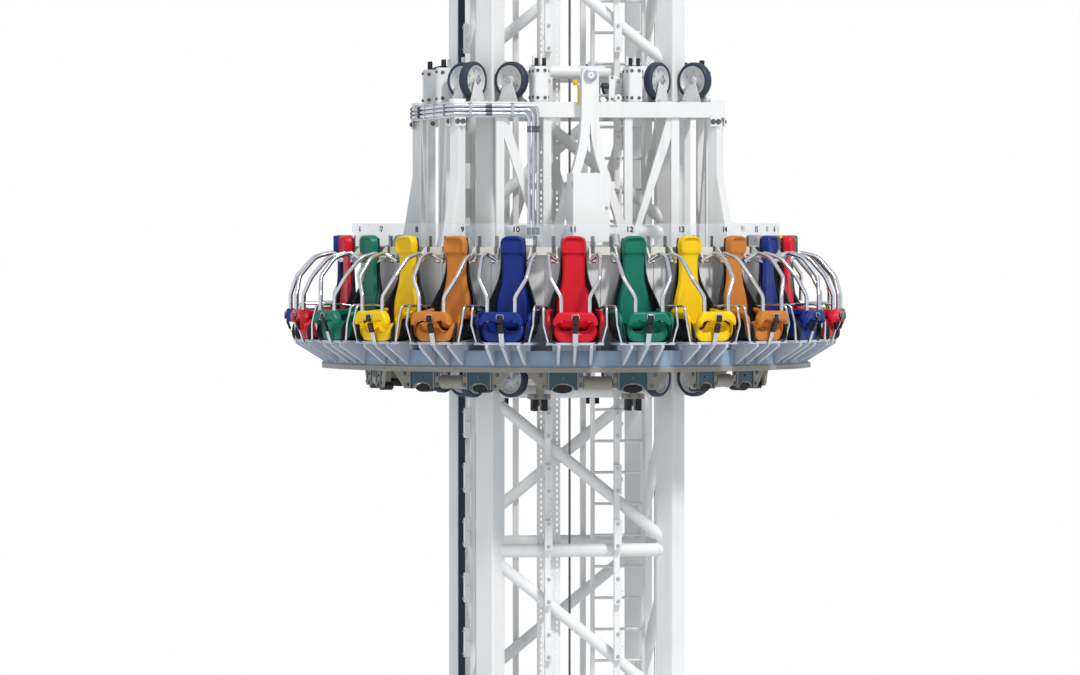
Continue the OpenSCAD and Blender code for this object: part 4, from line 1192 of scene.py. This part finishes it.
class TOWER_OT_beam_fittings(bpy.types.Operator):
    """Make the lifting eyes, the valve box and the current collector on the upper frame"""
    bl_idname = "tower.beam_fittings"
    bl_label = "Fittings on the upper frame"

    def execute(self, context):
        top, under = FRAME_TOP + 0.0002, BEAM_UNDER - GAP
        eyes, dark, black, bolts = Shape(), Shape(), Shape(), Bolts()
        for face in FACES:
            eyes.box((0.262, -1.262, top), (0.328, -1.196, top + 0.008), face)
            eyes.lathe([(0.016, -0.008), (0.034, -0.008), (0.036, 0.0), (0.034, 0.008),
                        (0.016, 0.008)], face @ at(0.295, -1.229, top + 0.04) @ FORWARDS, 28)
        eyes.box((0.205, -1.215, top), (0.275, -1.16, top + 0.01))
        eyes.box((0.212, -1.21, top + 0.0103), (0.268, -1.165, top + 0.25))
        eyes.box((-1.29, 0.196, under - 0.075), (-1.045, 0.208, under))
        for start, end, radius, sides in ((0.15, 0.2115, 0.026, 24), (0.136, 0.1495, 0.018, 16)):
            dark.rod((start, -1.188, top + 0.15), (end, -1.188, top + 0.15), radius, sides)
        for z in (0.03, 0.23):
            bolts.put((0.24, -1.21, top + z), size=0.6)
        for x in (-1.25, -1.18, -1.09):
            bolts.put((x, 0.196, under - 0.04), size=1.1)
        black.box((-1.04, 0.205, under - 0.11), (-0.985, 0.262, under - 0.01))
        black.box((-1.0445, 0.2085, under - 0.06), (-1.0405, 0.255, under - 0.02))
        black.prism([(-1.04, -0.1103), (-0.985, -0.1103), (-0.94, -0.205), (-0.94, -0.245),
                     (-0.975, -0.245), (-1.03, -0.16)], 0.0, 0.034, upright(0.215, under))
        piece("lifting_eyes", eyes, "carriage", bevel=0.0015)
        piece("valve_solenoid", dark, "conductor")
        piece("current_collector", black, "rubber", bevel=0.003)
        bolts.make("beam_fitting_bolts", "dark_steel")
        return {"FINISHED"}


class TOWER_OT_conduit_fittings(bpy.types.Operator):
    """Make the conduits' glands, couplings and straps, and the cabinet's small fittings"""
    bl_idname = "tower.conduit_fittings"
    bl_label = "Conduit and cabinet fittings"

    def execute(self, context):
        glands, couplings, straps, fit, away = Shape(), Shape(), Shape(), Shape(), CONDUIT_OUT
        gland = [(0.0152, 0.0), (0.0185, 0.0), (0.0185, 0.02), (0.0165, 0.024),
                 (0.0165, 0.03), (0.0185, 0.034), (0.0185, 0.058), (0.012, 0.066),
                 (AXIS, 0.066), (AXIS, 0.0585), (0.0152, 0.0585)]
        union = both_ends((0.0152, 0.03), (0.0186, 0.03), (0.0186, 0.012), (0.0168, 0.008))
        sleeve = both_ends((0.0152, 0.09), (0.0165, 0.09), (0.0186, 0.08))
        for x, z in ((0.042 * i - 0.565, 0.038 * i + 7.404) for i in range(3)):
            glands.lathe(gland, at(-away, 1.092, z) @ ALONG_Y, 20)
            glands.lathe(sleeve, at(-away, 0.6, z) @ ALONG_Y, 24)
            glands.lathe(gland, at(x, -away, 6.341) @ DOWNWARDS, 20)
            for place in (at(-0.945, -away, z) @ ALONG_X, at(-away, -1.05, z) @ ALONG_Y,
                          at(x, -away, 7.26)):
                couplings.lathe(union, place, 24)
        for face, x in ((3, -0.8), (3, -0.2), (3, 0.4), (0, -1.12), (0, -0.72)):
            place = FACES[face] @ at(x, -away, 0)
            straps.box((-0.014, -0.0185, 7.378), (0.014, -0.0155, 7.506), place)
            for z in (7.378, 7.5):
                straps.box((-0.014, -0.0185, z), (0.014, away - FRAME_OUT - 0.0002, z + 0.006),
                           place)
        piece("conduit_glands", glands, "rubber")
        piece("conduit_couplings", couplings, "dark_steel")
        piece("conduit_straps", straps, "zinc")
        low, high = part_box("control_cabinet")
        lock = at(high.x - 0.032, low.y, (low.z + high.z) / 2)
        fit.button(0.016, 0.0, 0.006, 0.013, 0.009, lock @ FORWARDS)
        fit.box((-0.004, -0.013, -0.012), (0.004, -0.009, 0.012), lock)
        for z in (low.z + 0.08, high.z - 0.13):
            fit.rod((low.x - 0.006, low.y + 0.01, z), (low.x - 0.006, low.y + 0.01, z + 0.05),
                    0.006, 12)
            for x, ear in ((low.x, -0.03), (high.x, 0.03)):
                fit.box((x, high.y - 0.012, z), (x + ear, high.y - 0.001, z + 0.04))
        piece("cabinet_fittings", fit, "zinc", bevel=0.001)
        return {"FINISHED"}


class TOWER_OT_screen_straps(bpy.types.Operator):
    """Make the perforated straps that hold the clear band to the rim"""
    bl_idname = "tower.screen_straps"
    bl_label = "Screen straps"

    def execute(self, context):
        near = SCREEN_OUT + GAP
        sheet = slotted("dark_steel", (0.033, 0.098), (0.007, 0.009), (2, 6), (0.014, 0.015))
        strap = Shape().mesh_copy(sheet, upright(near, RIM_HIGH + 0.052))
        strap.mesh_copy(sheet, upright(near + 0.03, RIM_HIGH - 0.031, tall=0.62))
        strap.box((-0.0165, near, RIM_HIGH + GAP), (0.0165, near + 0.034, RIM_HIGH + 0.003 + GAP))
        places = [place @ at(x, 0, 0) for place, x in product(ALL_SEATS, (-0.181, 0.181))]
        piece("screen_straps", strap.copies(places), "dark_steel")
        return {"FINISHED"}


class TOWER_OT_mast_fittings(bpy.types.Operator):
    """Make the mast's anchor nuts, splice bolts, brake block bolts and lugs"""
    bl_idname = "tower.mast_fittings"
    bl_label = "Mast fittings"

    def execute(self, context):
        top, rail_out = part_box("mast_columns")[1].z, 1.0298
        studs, lugs, bolts = Shape(), Shape(), Bolts()
        for column, a in product(COLUMNS, angles(4, math.radians(45))):
            way = Vector((math.cos(a), math.sin(a), 0))
            foot, head = way * 0.24, way * 0.195
            studs.sweep([foot + Vector((0, 0, z)) for z in (0.03, 0.105)], 0.015, 16, column)
            bolts.put(foot + Vector((0, 0, 0.03)), (0, 0, 1), 2.0, column)
            bolts.put(head + Vector((0, 0, top - 0.03)), (0, 0, -1), 1.5, column)
        for (face, side), i in product(((0, -1), (0, 1), (3, 1)), range(18)):
            place = FACES[face] @ at(side * 0.33, 0, 0.19 + 0.52 * i)
            for z in (0.035, 0.245):
                bolts.put((0, -rail_out, z), size=0.9, place=place)
            aim = at(side * 0.0385, -0.995, 0.14) @ Matrix.Rotation(side * math.pi / 2, 4, "Y")
            lugs.button(0.02, 0.0, 0.01, 0.016, 0.014, place @ aim, 18)
        piece("anchor_studs", studs, "zinc", body=BODY_MAST)
        piece("brake_block_lugs", lugs, "mast", body=BODY_MAST)
        bolts.make("mast_bolts", "zinc", BODY_MAST)
        return {"FINISHED"}


class TOWER_OT_tray(bpy.types.Operator):
    """Make the slotted cable tray"""
    bl_idname = "tower.tray"
    bl_label = "Slotted tray"

    def execute(self, context):
        low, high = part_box("cable_tray")
        pitch, edge, tray = context.scene.tower_sizes.tray_pitch, 0.062, Shape()
        tall, wide = high.z - low.z, high.x - low.x
        rows = int((tall - 0.1) / pitch)
        middle = at((low.x + high.x) / 2, low.y + 0.003, (low.z + high.z) / 2) @ FORWARDS
        for x, span, columns, gap, slot in (
                ((edge - wide) / 2, edge, 1, 0.01, (0.012, 0.03)),
                (0.0, wide - 2 * edge, 3, 0.026, (0.009, 0.01)),
                ((wide - edge) / 2, edge, 1, 0.01, (0.012, 0.03))):
            sheet = slotted("mast", (span, tall), slot, (columns, rows), (gap, pitch))
            tray.mesh_copy(sheet, middle @ at(x, 0, 0))
        for x in (low.x, high.x - 0.003):
            tray.box((x, low.y + 0.003, low.z), (x + 0.003, high.y, high.z))
        piece("slotted_tray", tray, "mast", ["cable_tray"], body=BODY_MAST)
        return {"FINISHED"}


class TOWER_OT_rope(bpy.types.Operator):
    """Make the laid hoist rope"""
    bl_idname = "tower.rope"
    bl_label = "Laid rope"

    def execute(self, context):
        low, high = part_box("hoist_rope")
        tall, x, y = high.z - low.z, (low.x + high.x) / 2, (low.y + high.y) / 2
        mesh = grown("Laid rope", "rope", {
            "Rope radius": 0.0119, "Strand radius": 0.0046, "Height": tall - 0.004,
            "Turns": tall / 0.16, "Strands": context.scene.tower_sizes.rope_strands})
        shape = Shape().mesh_copy(mesh, at(x, y, low.z + 0.002))
        shape.rod((x, y, low.z), (x, y, high.z), 0.0065, 8)
        piece("laid_rope", shape, "rope", ["hoist_rope"], body=BODY_MAST)
        return {"FINISHED"}


OPERATORS = (
    TOWER_OT_stage, TOWER_OT_finishes, TOWER_OT_shells, TOWER_OT_cushions, TOWER_OT_restraints,
    TOWER_OT_belts, TOWER_OT_numbers, TOWER_OT_frames, TOWER_OT_outriggers, TOWER_OT_wheels,
    TOWER_OT_shoes, TOWER_OT_guide_blocks, TOWER_OT_hanger_fittings, TOWER_OT_beam_fittings,
    TOWER_OT_conduit_fittings, TOWER_OT_screen_straps, TOWER_OT_mast_fittings, TOWER_OT_tray,
    TOWER_OT_rope)


class TOWER_PT_panel(bpy.types.Panel):
    """The ride's pieces, in the order in which they are made"""
    bl_label = "Drop Tower"
    bl_idname = "TOWER_PT_panel"
    bl_space_type = "VIEW_3D"
    bl_region_type = "UI"
    bl_category = "Drop Tower"

    def draw(self, context):
        for group in (context.scene.tower_sizes, context.scene.tower_colours):
            box = self.layout.box()
            for name in group.bl_rna.properties.keys():
                if name not in ("rna_type", "name"):
                    box.prop(group, name)
        for operator in OPERATORS:
            self.layout.operator(operator.bl_idname)


CLASSES = (TowerColours, TowerSizes, *OPERATORS, TOWER_PT_panel)


def register():
    for item in CLASSES:
        bpy.utils.register_class(item)
    bpy.types.Scene.tower_colours = PointerProperty(type=TowerColours)
    bpy.types.Scene.tower_sizes = PointerProperty(type=TowerSizes)


def unregister():
    del bpy.types.Scene.tower_sizes
    del bpy.types.Scene.tower_colours
    for item in reversed(CLASSES):
        bpy.utils.unregister_class(item)


def main():
    register()
    for operator in OPERATORS:
        group, name = operator.bl_idname.split(".")
        getattr(getattr(bpy.ops, group), name)()


if __name__ == "__main__":
    main()
